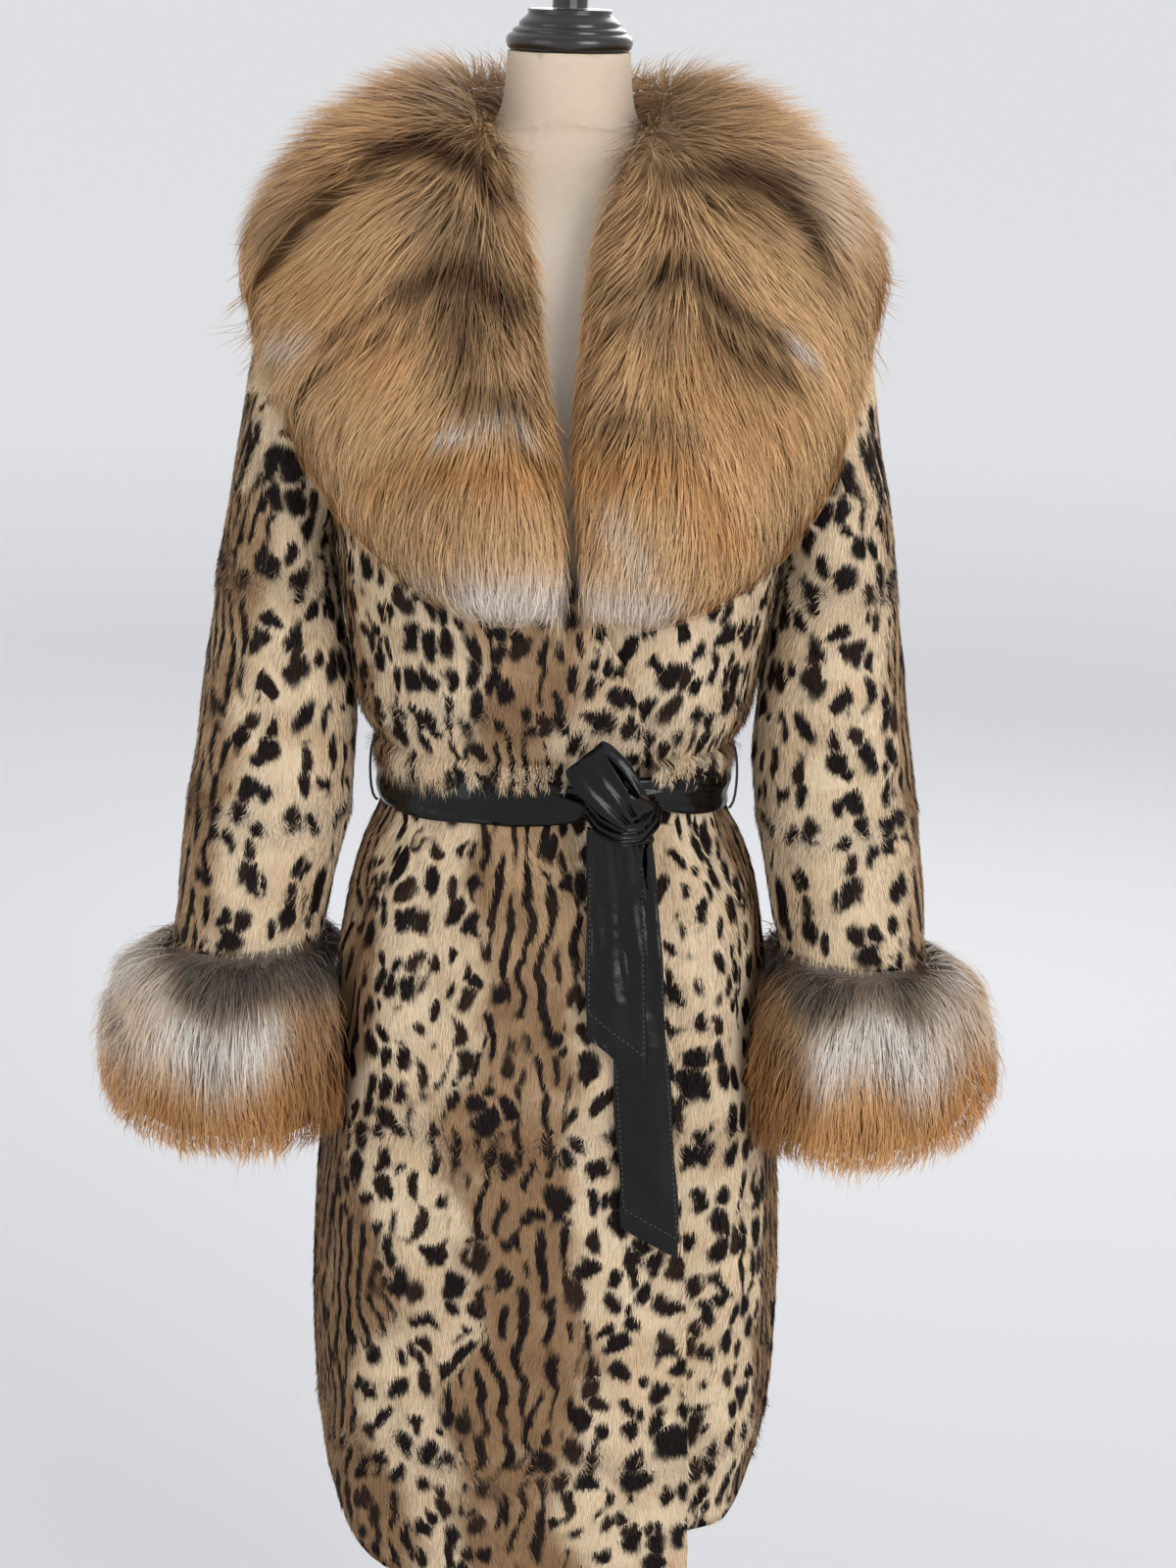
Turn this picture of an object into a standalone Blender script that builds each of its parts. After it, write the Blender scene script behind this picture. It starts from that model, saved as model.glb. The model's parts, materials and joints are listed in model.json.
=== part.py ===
"""Faux fur wrap coat with a long-haired shawl collar, cuffs and tie belt, worn by a limbless dress form.

Metres, +Z up.  The coat's front faces -Y and the viewer's right is +X, so the wearer's right is -X.
The origin is the middle of the stand's underside.  The coat's solids reach as far as its fur does.
"""
import math
from collections import namedtuple

import bmesh
import bpy
from mathutils import Vector

# ---------------------------------------------------------------- driving dimensions
NECK_RIM_Z = 1.500            # top of the form's linen neck
WAIST_Z = 0.955               # middle of the belt
BELT_WIDTH = 0.041
BELT_THICKNESS = 0.0024
WALL = 0.009                  # backing cloth and its short pile together
SEAM_GAP = 0.0008             # clear space between two sewn pieces
SEAT_GAP = 0.0005             # clear space under a piece that lies on another
COLLAR_SEAT = 0.0028          # sideways room under the collar, which the sloping shoulder makes smaller
COLLAR_LIFT = 0.0012          # and upward room
CUFF_SEAM = 0.0021            # the cuff starts this far past the sleeve's slanting end
HOLLOW_WALL = 0.012           # fur between a cuff's hollow and its outside where it meets the body
TOUCH_GAP = 0.0015            # clear space where a sleeve or cuff hangs against the body
CORNER = 0.90                 # below 1 squares the oval sections a little
LAP_INSET = WALL + 0.0036     # how deep the under front lies below the over front
RIM_TURN = 0.8                # degrees taken by the narrow column beside a seam
LAP_RAMP = 13.0               # degrees over which the under front comes up again
ARMPIT_Z = 1.145
BASE_RADIUS = 0.180
BASE_THICKNESS = 0.014
POLE_RADIUS = 0.015
TORSO_BOTTOM_Z = 0.725

# ---------------------------------------------------------------- tables
# Oval sections, top to bottom: height, half width, half depth, and the centre's place front to back.
Section = namedtuple("Section", "z half_width half_depth centre_y")
COAT_SECTIONS = (
    Section(1.450, 0.070, 0.060, 0.012),
    Section(1.432, 0.098, 0.074, 0.008),
    Section(1.412, 0.132, 0.088, 0.004),
    Section(1.390, 0.158, 0.099, 0.000),
    Section(1.350, 0.177, 0.112, -0.003),
    Section(1.290, 0.184, 0.124, -0.006),
    Section(1.210, 0.179, 0.134, -0.010),
    Section(1.120, 0.166, 0.131, -0.010),
    Section(1.050, 0.155, 0.122, -0.008),
    Section(1.012, 0.1495, 0.1165, -0.007),
    Section(0.994, 0.1430, 0.1090, -0.006),
    Section(0.979, 0.1340, 0.1000, -0.005),
    Section(0.955, 0.1330, 0.0990, -0.005),
    Section(0.931, 0.1340, 0.1000, -0.005),
    Section(0.916, 0.1420, 0.1070, -0.005),
    Section(0.895, 0.1520, 0.1160, -0.006),
    Section(0.850, 0.164, 0.126, -0.008),
    Section(0.760, 0.175, 0.136, -0.009),
    Section(0.650, 0.186, 0.145, -0.009),
    Section(0.540, 0.191, 0.149, -0.008),
    Section(0.430, 0.188, 0.147, -0.007),
    Section(0.300, 0.175, 0.138, -0.006),
)
TORSO_SECTIONS = (
    Section(1.500, 0.0460, 0.0460, 0.004),
    Section(1.465, 0.0478, 0.0490, 0.004),
    Section(1.448, 0.0510, 0.0530, 0.005),
    Section(1.434, 0.0690, 0.0590, 0.005),
    Section(1.415, 0.1120, 0.0660, 0.004),
    Section(1.400, 0.1350, 0.0710, 0.003),
    Section(1.375, 0.1530, 0.0800, 0.001),
    Section(1.330, 0.1650, 0.0910, -0.002),
    Section(1.270, 0.1660, 0.1030, -0.006),
    Section(1.200, 0.1570, 0.1100, -0.008),
    Section(1.110, 0.1400, 0.1010, -0.006),
    Section(1.030, 0.1200, 0.0850, -0.003),
    Section(0.955, 0.1120, 0.0730, 0.002),
    Section(0.890, 0.1220, 0.0830, 0.000),
    Section(0.810, 0.1480, 0.1020, -0.004),
    Section(0.760, 0.1550, 0.1070, -0.004),
    Section(0.735, 0.1480, 0.1010, -0.004),
    Section(0.725, 0.1300, 0.0860, -0.004),
)
# Heights of the coat's rows of faces, closer at the shoulders and at the belt.
COAT_ROWS = (1.450, 1.434, 1.416, 1.394, 1.362, 1.315, 1.255, 1.185, 1.115, 1.055, 1.012, 0.992,
             0.979, 0.955, 0.931, 0.918, 0.895, 0.855, 0.790, 0.710, 0.620, 0.530, 0.445, 0.375, 0.300)
HEM_STRETCH_TOP = 0.620       # above this height the rows stay level, below it they fan out to the hem

# Front edges, in degrees round from the front centre, viewer's right positive.
FrontEdge = namedtuple("FrontEdge", "z over_turn under_turn")
FRONT_EDGES = (
    FrontEdge(1.450, -74.0, 74.0),
    FrontEdge(1.412, -46.0, 46.0),
    FrontEdge(1.360, -27.0, 30.0),
    FrontEdge(1.290, -18.0, 22.0),
    FrontEdge(1.200, -9.0, 17.0),
    FrontEdge(1.120, 6.0, 9.0),
    FrontEdge(1.050, 20.0, -4.0),
    FrontEdge(0.980, 27.0, -13.0),
    FrontEdge(0.600, 33.0, -12.0),
    FrontEdge(0.430, 36.0, -10.0),
    FrontEdge(0.300, 41.0, -10.0),
)
# Hem heights round the coat: a shirt-tail line, high at the side seams and low at the front.
HemPoint = namedtuple("HemPoint", "turn z")
OVER_HEM = (HemPoint(-90, 0.396), HemPoint(-62, 0.342), HemPoint(-30, 0.311), HemPoint(0, 0.301),
            HemPoint(42, 0.304))
UNDER_HEM = (HemPoint(-14, 0.352), HemPoint(30, 0.352), HemPoint(62, 0.358), HemPoint(90, 0.396))
BACK_HEM = (HemPoint(90, 0.396), HemPoint(130, 0.362), HemPoint(180, 0.352), HemPoint(230, 0.362),
            HemPoint(270, 0.396))

# Soft waves round the coat: how many, how far they are turned, and their depth by height.
FoldDepth = namedtuple("FoldDepth", "z gather drape")
FOLD_DEPTHS = (
    FoldDepth(1.450, 0.0000, 0.0000),
    FoldDepth(1.120, 0.0000, 0.0000),
    FoldDepth(1.040, 0.0024, 0.0010),
    FoldDepth(1.000, 0.0036, 0.0000),
    FoldDepth(0.979, 0.0006, 0.0000),
    FoldDepth(0.955, 0.0003, 0.0000),
    FoldDepth(0.931, 0.0006, 0.0000),
    FoldDepth(0.905, 0.0038, 0.0006),
    FoldDepth(0.840, 0.0026, 0.0024),
    FoldDepth(0.720, 0.0006, 0.0036),
    FoldDepth(0.450, 0.0000, 0.0045),
    FoldDepth(0.300, 0.0000, 0.0055),
)
GATHER_COUNT = 13
DRAPE_COUNT = 7

# Sleeve sections from the shoulder to the wrist: the outer and the inner side of each, its half depth
# and the middle's place front to back.  Written for the viewer's right and mirrored for the other.
SleeveRow = namedtuple("SleeveRow", "outer_x outer_z inner_x inner_z half_depth centre_y")
SLEEVE_ROWS = (
    SleeveRow(0.120, 1.402, 0.120, 1.190, 0.078, 0.004),
    SleeveRow(0.150, 1.402, 0.140, 1.183, 0.078, 0.004),
    SleeveRow(0.182, 1.390, 0.156, 1.172, 0.077, 0.003),
    SleeveRow(0.209, 1.362, 0.166, 1.156, 0.076, 0.002),
    SleeveRow(0.226, 1.318, 0.171, 1.135, 0.075, 0.001),
    SleeveRow(0.237, 1.268, 0.171, 1.112, 0.074, 0.000),
    SleeveRow(0.247, 1.215, 0.168, 1.088, 0.073, -0.002),
    SleeveRow(0.257, 1.150, 0.164, 1.058, 0.072, -0.004),
    SleeveRow(0.265, 1.085, 0.159, 1.020, 0.071, -0.007),
    SleeveRow(0.275, 1.015, 0.153, 0.975, 0.070, -0.010),
    SleeveRow(0.284, 0.945, 0.154, 0.926, 0.069, -0.014),
    SleeveRow(0.292, 0.880, 0.163, 0.876, 0.068, -0.018),
    SleeveRow(0.302, 0.815, 0.174, 0.822, 0.066, -0.022),
)
SLEEVE_SIDES = 20
SLEEVE_FOLD_DEPTH = 0.0026
SLEEVE_FOLD_LENGTH = 0.135

# Cuff profile: how far down the cuff, how far beyond the sleeve's outer face, and for its hollow
# how far inside that face.
CuffRow = namedtuple("CuffRow", "down proud")
CUFF_OUTSIDE = (
    CuffRow(0.000, 0.014),
    CuffRow(0.020, 0.038),
    CuffRow(0.055, 0.053),
    CuffRow(0.098, 0.057),
    CuffRow(0.132, 0.046),
    CuffRow(0.150, 0.022),
)
CUFF_INSIDE = (
    CuffRow(0.148, -0.004),
    CuffRow(0.120, -0.013),
    CuffRow(0.050, -0.013),
    CuffRow(0.000, -WALL),
)
CUFF_INNER_SHARE = 0.50       # the fur stands less proud on the side that faces the body
CUFF_SIDES = 24

# Collar stations from one front tip round to the centre back: its roll line, its free edge and the
# height of the fur over the line between them.
Station = namedtuple("Station", "roll_x roll_y roll_z edge_x edge_y edge_z loft")
COLLAR_STATIONS = (
    Station(0.010, -0.150, 1.108, 0.066, -0.145, 1.104, 0.020),
    Station(0.007, -0.153, 1.130, 0.110, -0.132, 1.120, 0.040),
    Station(0.005, -0.150, 1.175, 0.152, -0.110, 1.150, 0.052),
    Station(0.007, -0.141, 1.232, 0.192, -0.082, 1.200, 0.058),
    Station(0.011, -0.122, 1.295, 0.218, -0.052, 1.258, 0.060),
    Station(0.018, -0.097, 1.355, 0.234, -0.018, 1.312, 0.066),
    Station(0.030, -0.066, 1.412, 0.238, 0.018, 1.344, 0.068),
    Station(0.050, -0.022, 1.448, 0.216, 0.058, 1.352, 0.060),
    Station(0.059, 0.020, 1.462, 0.176, 0.102, 1.342, 0.052),
    Station(0.044, 0.054, 1.468, 0.108, 0.134, 1.322, 0.048),
    Station(0.000, 0.068, 1.470, 0.000, 0.148, 1.308, 0.048),
)
COLLAR_RESAMPLE = 2           # lofted rows for each station
COLLAR_SIDES = 16
COLLAR_UNDER = 0.55           # the underside's share of the loft before the body is cut out of it
LAP_SHIFT = 0.013             # the V's low point lies this far to the viewer's right
LAP_SHIFT_LOW_Z = 1.12
LAP_SHIFT_HIGH_Z = 1.32

COLOURS = {
    "spotted_fur": ((0.58, 0.44, 0.28, 1.0), 0.85),
    "fox_fur": ((0.50, 0.30, 0.14, 1.0), 0.80),
    "cuff_fur": ((0.60, 0.50, 0.40, 1.0), 0.80),
    "belt_leather": ((0.012, 0.012, 0.014, 1.0), 0.38),
    "belt_thread": ((0.015, 0.015, 0.015, 1.0), 0.70),
    "form_linen": ((0.68, 0.61, 0.50, 1.0), 0.90),
    "form_wood": ((0.060, 0.026, 0.014, 1.0), 0.32),
    "stand_metal": ((0.030, 0.028, 0.028, 1.0), 0.40),
}


# ---------------------------------------------------------------- scene set-up
def clear_scene():
    for old in list(bpy.data.objects):
        bpy.data.objects.remove(old, do_unlink=True)


def new_collection(name):
    made = bpy.data.collections.new(name)
    bpy.context.scene.collection.children.link(made)
    return made


clear_scene()
PARTS = new_collection("faux_fur_coat")
CUTTERS = new_collection("cutters")


def material(name):
    found = bpy.data.materials.get(name)
    if found:
        return found
    colour, roughness = COLOURS[name]
    made = bpy.data.materials.new(name)
    made.use_nodes = True
    shader = made.node_tree.nodes["Principled BSDF"]
    shader.inputs["Base Color"].default_value = colour
    shader.inputs["Roughness"].default_value = roughness
    shader.inputs["Metallic"].default_value = 0.0
    made.diffuse_color = colour
    return made


def add_object(name, bm, finish, collection=None):
    """Turn a bmesh into a named, smooth shaded object."""
    mesh = bpy.data.meshes.new(name)
    bm.to_mesh(mesh)
    bm.free()
    mesh.shade_smooth()
    made = bpy.data.objects.new(name, mesh)
    (collection or PARTS).objects.link(made)
    mesh.materials.append(material(finish))
    return made


def add_cutter(name, bm):
    made = add_object(name, bm, "stand_metal", CUTTERS)
    made.hide_render = True
    made.display_type = "WIRE"
    return made


def cut(target, cutter):
    modifier = target.modifiers.new("cut_" + cutter.name, "BOOLEAN")
    modifier.operation = "DIFFERENCE"
    modifier.solver = "EXACT"
    modifier.object = cutter


def solidify(target, thickness, offset=-1.0):
    modifier = target.modifiers.new("wall", "SOLIDIFY")
    modifier.thickness = thickness
    modifier.offset = offset


# ---------------------------------------------------------------- curves through tables
def smooth_value(rows, key, column, at):
    """Read a column of a table at any key, along a smooth curve through its rows."""
    keys = [getattr(row, key) for row in rows]
    values = [getattr(row, column) for row in rows]
    if keys[0] > keys[-1]:
        keys.reverse()
        values.reverse()
    if at <= keys[0]:
        return values[0]
    if at >= keys[-1]:
        return values[-1]
    last = len(keys) - 1
    low = max(i for i in range(last) if keys[i] <= at)
    span = keys[low + 1] - keys[low]
    share = (at - keys[low]) / span

    def slope(i):
        before, after = max(i - 1, 0), min(i + 1, last)
        return (values[after] - values[before]) / (keys[after] - keys[before])

    square, cube = share ** 2, share ** 3
    return ((2 * cube - 3 * square + 1) * values[low] + (cube - 2 * square + share) * span * slope(low)
            + (3 * square - 2 * cube) * values[low + 1] + (cube - square) * span * slope(low + 1))


def smooth_step(low, high, at):
    share = min(max((at - low) / (high - low), 0.0), 1.0)
    return share * share * (3 - 2 * share)


def signed_power(value, power):
    return math.copysign(abs(value) ** power, value)


# ---------------------------------------------------------------- the coat's form
def oval_point(rows, turn, z, outward=0.0):
    """A point of an oval section, turn degrees from the front centre, moved outward by some metres."""
    half_width = smooth_value(rows, "z", "half_width", z)
    half_depth = smooth_value(rows, "z", "half_depth", z)
    centre_y = smooth_value(rows, "z", "centre_y", z)
    angle = math.radians(turn)
    x = half_width * signed_power(math.sin(angle), CORNER)
    y = -half_depth * signed_power(math.cos(angle), CORNER)
    normal = Vector((x / half_width ** 2, y / half_depth ** 2, 0)).normalized()
    return Vector((x, y + centre_y, z)) + normal * outward


def fold_height(turn, z):
    """Gathers at the belt and longer drape folds in the skirt, none alike."""
    angle = math.radians(turn)
    gather = smooth_value(FOLD_DEPTHS, "z", "gather", z)
    drape = smooth_value(FOLD_DEPTHS, "z", "drape", z)
    wander = 0.7 * math.sin(2 * angle + 0.4) + 0.5 * math.sin(3 * angle + 1.1)
    height = gather * math.cos(GATHER_COUNT * angle + 2.2 * wander) * (0.72 + 0.28 * math.sin(5 * angle))
    return height + drape * math.cos(DRAPE_COUNT * angle + 1.4 * wander + 0.8)


def coat_point(turn, z, outward=0.0):
    return oval_point(COAT_SECTIONS, turn, z, fold_height(turn, z) + outward)


def coat_side_x(y, z, outward):
    """The coat's half width at a place front to back, for what hangs against its side."""
    half_width = smooth_value(COAT_SECTIONS, "z", "half_width", z)
    half_depth = smooth_value(COAT_SECTIONS, "z", "half_depth", z)
    centre_y = smooth_value(COAT_SECTIONS, "z", "centre_y", z)
    fold = smooth_value(FOLD_DEPTHS, "z", "gather", z) + smooth_value(FOLD_DEPTHS, "z", "drape", z)
    share = min(abs(y - centre_y) / half_depth, 1.0)
    round_share = (1 - share ** (2 / CORNER)) ** (CORNER / 2)
    return half_width * round_share + fold + outward


def hem_row_z(z, hem_z):
    """Fan the lowest rows out so that the last one lies on the hem."""
    if z >= HEM_STRETCH_TOP:
        return z
    return HEM_STRETCH_TOP - (HEM_STRETCH_TOP - z) * (HEM_STRETCH_TOP - hem_z) / (HEM_STRETCH_TOP - COAT_ROWS[-1])


def column_shares(count, whole_turn):
    """Shares across a panel, with a narrow first and last step so that the seam's walls stay square."""
    rim = min(RIM_TURN / whole_turn, 1 / count)
    inner = [rim + (1 - 2 * rim) * i / (count - 2) for i in range(count - 1)]
    return [0.0] + inner + [1.0]


def grid_surface(rows):
    """An open sheet through rows of points, as quads."""
    bm = bmesh.new()
    grid = [[bm.verts.new(point) for point in row] for row in rows]
    for upper, lower in zip(grid, grid[1:]):
        for i in range(len(upper) - 1):
            bm.faces.new((upper[i], lower[i], lower[i + 1], upper[i + 1]))
    return bm


def tube_surface(rings, closed_ends):
    """A tube through closed rings of points, its ends left open or filled."""
    bm = bmesh.new()
    grid = [[bm.verts.new(point) for point in ring] for ring in rings]
    count = len(grid[0])
    for upper, lower in zip(grid, grid[1:]):
        for i in range(count):
            after = (i + 1) % count
            bm.faces.new((upper[i], lower[i], lower[after], upper[after]))
    if closed_ends:
        bm.faces.new(grid[0])
        bm.faces.new(list(reversed(grid[-1])))
    return bm


def face_outward(bm):
    bmesh.ops.recalc_face_normals(bm, faces=bm.faces[:])
    return bm


def panel(name, columns, first_turn, last_turn, hem, inset):
    """One cloth panel between two edges that are functions of height."""
    rows = []
    for level in COAT_ROWS:
        row = []
        start, end = first_turn(level), last_turn(level)
        for share in column_shares(columns, end - start):
            turn = start + (end - start) * share
            z = hem_row_z(level, smooth_value(hem, "turn", "z", turn))
            row.append(coat_point(turn, z, -inset(turn, level)))
        rows.append(row)
    made = add_object(name, grid_surface(rows), "spotted_fur")
    solidify(made, WALL)
    return made


def seam_turn(level, side):
    """The side seam's turn, held back by half the seam gap."""
    half_depth = smooth_value(COAT_SECTIONS, "z", "half_depth", level)
    return side * 90.0 - math.degrees(0.5 * SEAM_GAP / half_depth)


def over_turn(level):
    return smooth_value(FRONT_EDGES, "z", "over_turn", level)


def under_turn(level):
    return smooth_value(FRONT_EDGES, "z", "under_turn", level)


def lap_inset(turn, level):
    """The under front lies below the over front and comes up beyond its edge."""
    edge = over_turn(level)
    return LAP_INSET * (1.0 - smooth_step(edge + 2.0, edge + LAP_RAMP, turn))


def no_inset(turn, level):
    return 0.0


def build_panels():
    def right_seam_front(level):
        return seam_turn(level, 1)

    def right_seam_back(level):
        return 180.0 - seam_turn(level, 1)

    def left_seam_front(level):
        return -seam_turn(level, 1)

    def left_seam_back(level):
        return 180.0 + seam_turn(level, 1)

    back = panel("coat_back", 25, right_seam_back, left_seam_back, BACK_HEM, no_inset)
    over = panel("coat_front_over", 17, left_seam_front, over_turn, OVER_HEM, no_inset)
    under = panel("coat_front_under", 15, under_turn, right_seam_front, UNDER_HEM, lap_inset)
    return back, over, under


def envelope(name, rows, levels, outward, folds, lift=0.0, sides=36):
    """A filled oval form, hidden, that cuts other pieces to sit against it."""
    rings = []
    for z in levels:
        ring = []
        for i in range(sides):
            turn = 360.0 * i / sides
            wave = fold_height(turn, z) if folds else 0.0
            ring.append(oval_point(rows, turn, z, wave + outward) + Vector((0, 0, lift)))
        rings.append(ring)
    return add_cutter(name, face_outward(tube_surface(rings, True)))


# ---------------------------------------------------------------- sleeves and cuffs
def sleeve_ring(row, side, inward=0.0, sides=SLEEVE_SIDES, fold=0.0):
    """One closed section of a sleeve; inward shrinks it, side is +1 for the viewer's right."""
    outer = Vector((row.outer_x, row.centre_y, row.outer_z))
    inner = Vector((row.inner_x, row.centre_y, row.inner_z))
    middle = (outer + inner) / 2
    reach = (outer - inner).length / 2
    across = (outer - inner).normalized()
    ring = []
    for i in range(sides):
        angle = 2 * math.pi * i / sides
        swell = fold * math.cos(angle + 2.6)
        point = (middle + across * (reach - inward + swell) * math.cos(angle)
                 + Vector((0, 1, 0)) * (row.half_depth - inward + swell) * math.sin(angle))
        if point.z < ARMPIT_Z:
            point.x = max(point.x, coat_side_x(point.y, point.z, TOUCH_GAP + inward))
        ring.append(Vector((side * point.x, point.y, point.z)))
    return ring


def sleeve_fold(row):
    """Soft rings of slack cloth along the lower sleeve."""
    drop = SLEEVE_ROWS[0].outer_z - row.outer_z
    return SLEEVE_FOLD_DEPTH * smooth_step(0.1, 0.3, drop) * math.sin(2 * math.pi * drop / SLEEVE_FOLD_LENGTH)


def build_sleeve(name, side, body_form):
    rings = [sleeve_ring(row, side, fold=sleeve_fold(row)) for row in SLEEVE_ROWS]
    made = add_object(name, face_outward(tube_surface(rings, False)), "spotted_fur")
    solidify(made, WALL)
    cut(made, body_form)
    filled_rows = SLEEVE_ROWS[:8]
    hollow = [sleeve_ring(row, side, inward=WALL) for row in filled_rows]
    hollow_form = add_cutter(name + "_hollow", face_outward(tube_surface(hollow, True)))
    outside = [sleeve_ring(row, side, inward=-SEAT_GAP, fold=sleeve_fold(row)) for row in filled_rows]
    outer_form = add_cutter(name + "_outside", face_outward(tube_surface(outside, True)))
    return hollow_form, outer_form


def cuff_ring(last_row, side, down, proud):
    """One closed section of a cuff, parallel to the sleeve's end and moved down from it."""
    outer = Vector((last_row.outer_x, last_row.centre_y, last_row.outer_z))
    inner = Vector((last_row.inner_x, last_row.centre_y, last_row.inner_z))
    middle = (outer + inner) / 2
    reach = (outer - inner).length / 2
    across = (outer - inner).normalized()
    axis = Vector((-across.z, 0, across.x)) * -1.0
    if axis.z > 0:
        axis.negate()
    ring = []
    for i in range(CUFF_SIDES):
        angle = 2 * math.pi * i / CUFF_SIDES
        share = 1.0
        if proud > 0 and math.cos(angle) < 0:
            share = 1.0 - (1.0 - CUFF_INNER_SHARE) * math.cos(angle) ** 2
        radius = proud * share
        point = (middle + axis * (down + CUFF_SEAM) + across * (reach + radius) * math.cos(angle)
                 + Vector((0, 1, 0)) * (last_row.half_depth + radius) * math.sin(angle))
        clear = 2 * TOUCH_GAP + (0.0 if proud > 0 else HOLLOW_WALL)
        point.x = max(point.x, coat_side_x(point.y, point.z, clear))
        ring.append(Vector((side * point.x, point.y, point.z)))
    return ring


def build_cuff(name, side):
    last_row = SLEEVE_ROWS[-1]
    rings = [cuff_ring(last_row, side, row.down, row.proud) for row in CUFF_OUTSIDE + CUFF_INSIDE]
    bm = tube_surface(rings + [rings[0]], False)
    bmesh.ops.remove_doubles(bm, verts=bm.verts[:], dist=1e-6)
    return add_object(name, face_outward(bm), "cuff_fur")


# ---------------------------------------------------------------- collar
def lap_shift(z):
    return LAP_SHIFT * (1.0 - smooth_step(LAP_SHIFT_LOW_Z, LAP_SHIFT_HIGH_Z, z))


def mirrored(station):
    return station._replace(roll_x=-station.roll_x, edge_x=-station.edge_x)


def collar_path():
    """All stations from the viewer's left tip round the back to the right tip, resampled smoothly."""
    half = list(COLLAR_STATIONS)
    stations = [mirrored(station) for station in half] + half[-2::-1]
    Numbered = namedtuple("Numbered", ("place",) + Station._fields)
    numbered = [Numbered(i, *station) for i, station in enumerate(stations)]
    steps = (len(stations) - 1) * COLLAR_RESAMPLE
    path = []
    for step in range(steps + 1):
        at = step / COLLAR_RESAMPLE
        path.append(Station(*[smooth_value(numbered, "place", column, at) for column in Station._fields]))
    return path


def collar_ring(path, place):
    station = path[place]
    before, after = path[max(place - 1, 0)], path[min(place + 1, len(path) - 1)]

    def middle(row):
        return Vector((row.roll_x + row.edge_x, row.roll_y + row.edge_y, row.roll_z + row.edge_z)) / 2

    roll = Vector((station.roll_x, station.roll_y, station.roll_z))
    edge = Vector((station.edge_x, station.edge_y, station.edge_z))
    across = (edge - roll) / 2
    along = middle(after) - middle(before)
    lift = along.cross(across).normalized()
    centre = (roll + edge) / 2
    if lift.dot(centre - Vector((0, 0, 1.25))) < 0:
        lift.negate()
    ring = []
    for i in range(COLLAR_SIDES):
        angle = 2 * math.pi * i / COLLAR_SIDES
        height = station.loft * math.sin(angle)
        if height < 0:
            height *= COLLAR_UNDER
        lean = -0.22 * max(math.sin(angle), 0.0)
        point = centre + across * (math.cos(angle) + lean) + lift * height
        ring.append(Vector((point.x + lap_shift(point.z), point.y, point.z)))
    return ring


def build_collar(forms):
    path = collar_path()
    rings = [collar_ring(path, place) for place in range(len(path))]
    made = add_object("fur_collar", face_outward(tube_surface(rings, True)), "fox_fur")
    for form in forms:
        cut(made, form)
    return made


# ---------------------------------------------------------------- belt
KNOT_MIDDLE = Vector((0.052, -0.122, 0.955))
KNOT_HALF_LENGTH = 0.034
KNOT_HALF_WIDTH = 0.024
KNOT_HALF_DEPTH = 0.022
# A strap's rows: the middle, the width there, and the width's lean from level, in degrees.
StrapRow = namedtuple("StrapRow", "x y z width lean")
BOW_LOOP_ROWS = (
    StrapRow(0.051, -0.1180, 0.966, 0.030, -12),
    StrapRow(0.043, -0.1245, 0.980, 0.036, -14),
    StrapRow(0.034, -0.1290, 0.994, 0.040, -16),
    StrapRow(0.028, -0.1330, 1.003, 0.042, -18),
    StrapRow(0.026, -0.1390, 1.006, 0.042, -18),
    StrapRow(0.028, -0.1445, 1.001, 0.042, -17),
    StrapRow(0.034, -0.1475, 0.989, 0.041, -16),
    StrapRow(0.041, -0.1475, 0.975, 0.038, -14),
    StrapRow(0.049, -0.1420, 0.960, 0.034, -12),
)


def strap(name, rows, thickness, columns=3, slant=0.0, crown=0.0):
    """A flat strap through its rows; slant cuts the last row at an angle, crown domes it."""
    grid = []
    for place, row in enumerate(rows):
        lean = math.radians(row.lean)
        across = Vector((math.cos(lean), 0, math.sin(lean)))
        points = []
        for column in range(columns + 1):
            share = column / columns - 0.5
            point = Vector((row.x, row.y, row.z)) + across * row.width * share
            if place == len(rows) - 1:
                point.z -= slant * (share + 0.5)
            point.y -= crown * (1 - 4 * share * share)
            points.append(point)
        grid.append(points)
    bm = grid_surface(grid)
    made = add_object(name, bm, "belt_leather")
    solidify(made, thickness, 0.0)
    return made


def front_of_coat(x, z):
    """The front face's place at a height, for what hangs before it."""
    half_width = smooth_value(COAT_SECTIONS, "z", "half_width", z)
    share = min(abs(x) / half_width, 1.0)
    turn = math.degrees(math.asin(share ** (1 / CORNER))) * (1 if x >= 0 else -1)
    return coat_point(turn, z).y


BAND_CLEAR = 0.0018           # the band's inner face beyond the cinched coat
BAND_CROWN = 1.5              # its middle is this many times as thick as its edges


def build_belt_band():
    rings = []
    half = BELT_WIDTH / 2
    sides = 40
    profile = ((-half, 0.0), (half, 0.0), (half, BELT_THICKNESS), (0.0, BELT_THICKNESS * BAND_CROWN),
               (-half, BELT_THICKNESS))
    for height, proud in profile + (profile[0],):
        ring = []
        for i in range(sides):
            turn = 360.0 * i / sides
            point = oval_point(COAT_SECTIONS, turn, WAIST_Z, BAND_CLEAR + proud)
            ring.append(Vector((point.x, point.y, WAIST_Z + height)))
        rings.append(ring)
    bm = tube_surface(rings, False)
    bmesh.ops.remove_doubles(bm, verts=bm.verts[:], dist=1e-6)
    return add_object("belt_band", face_outward(bm), "belt_leather")


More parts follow.
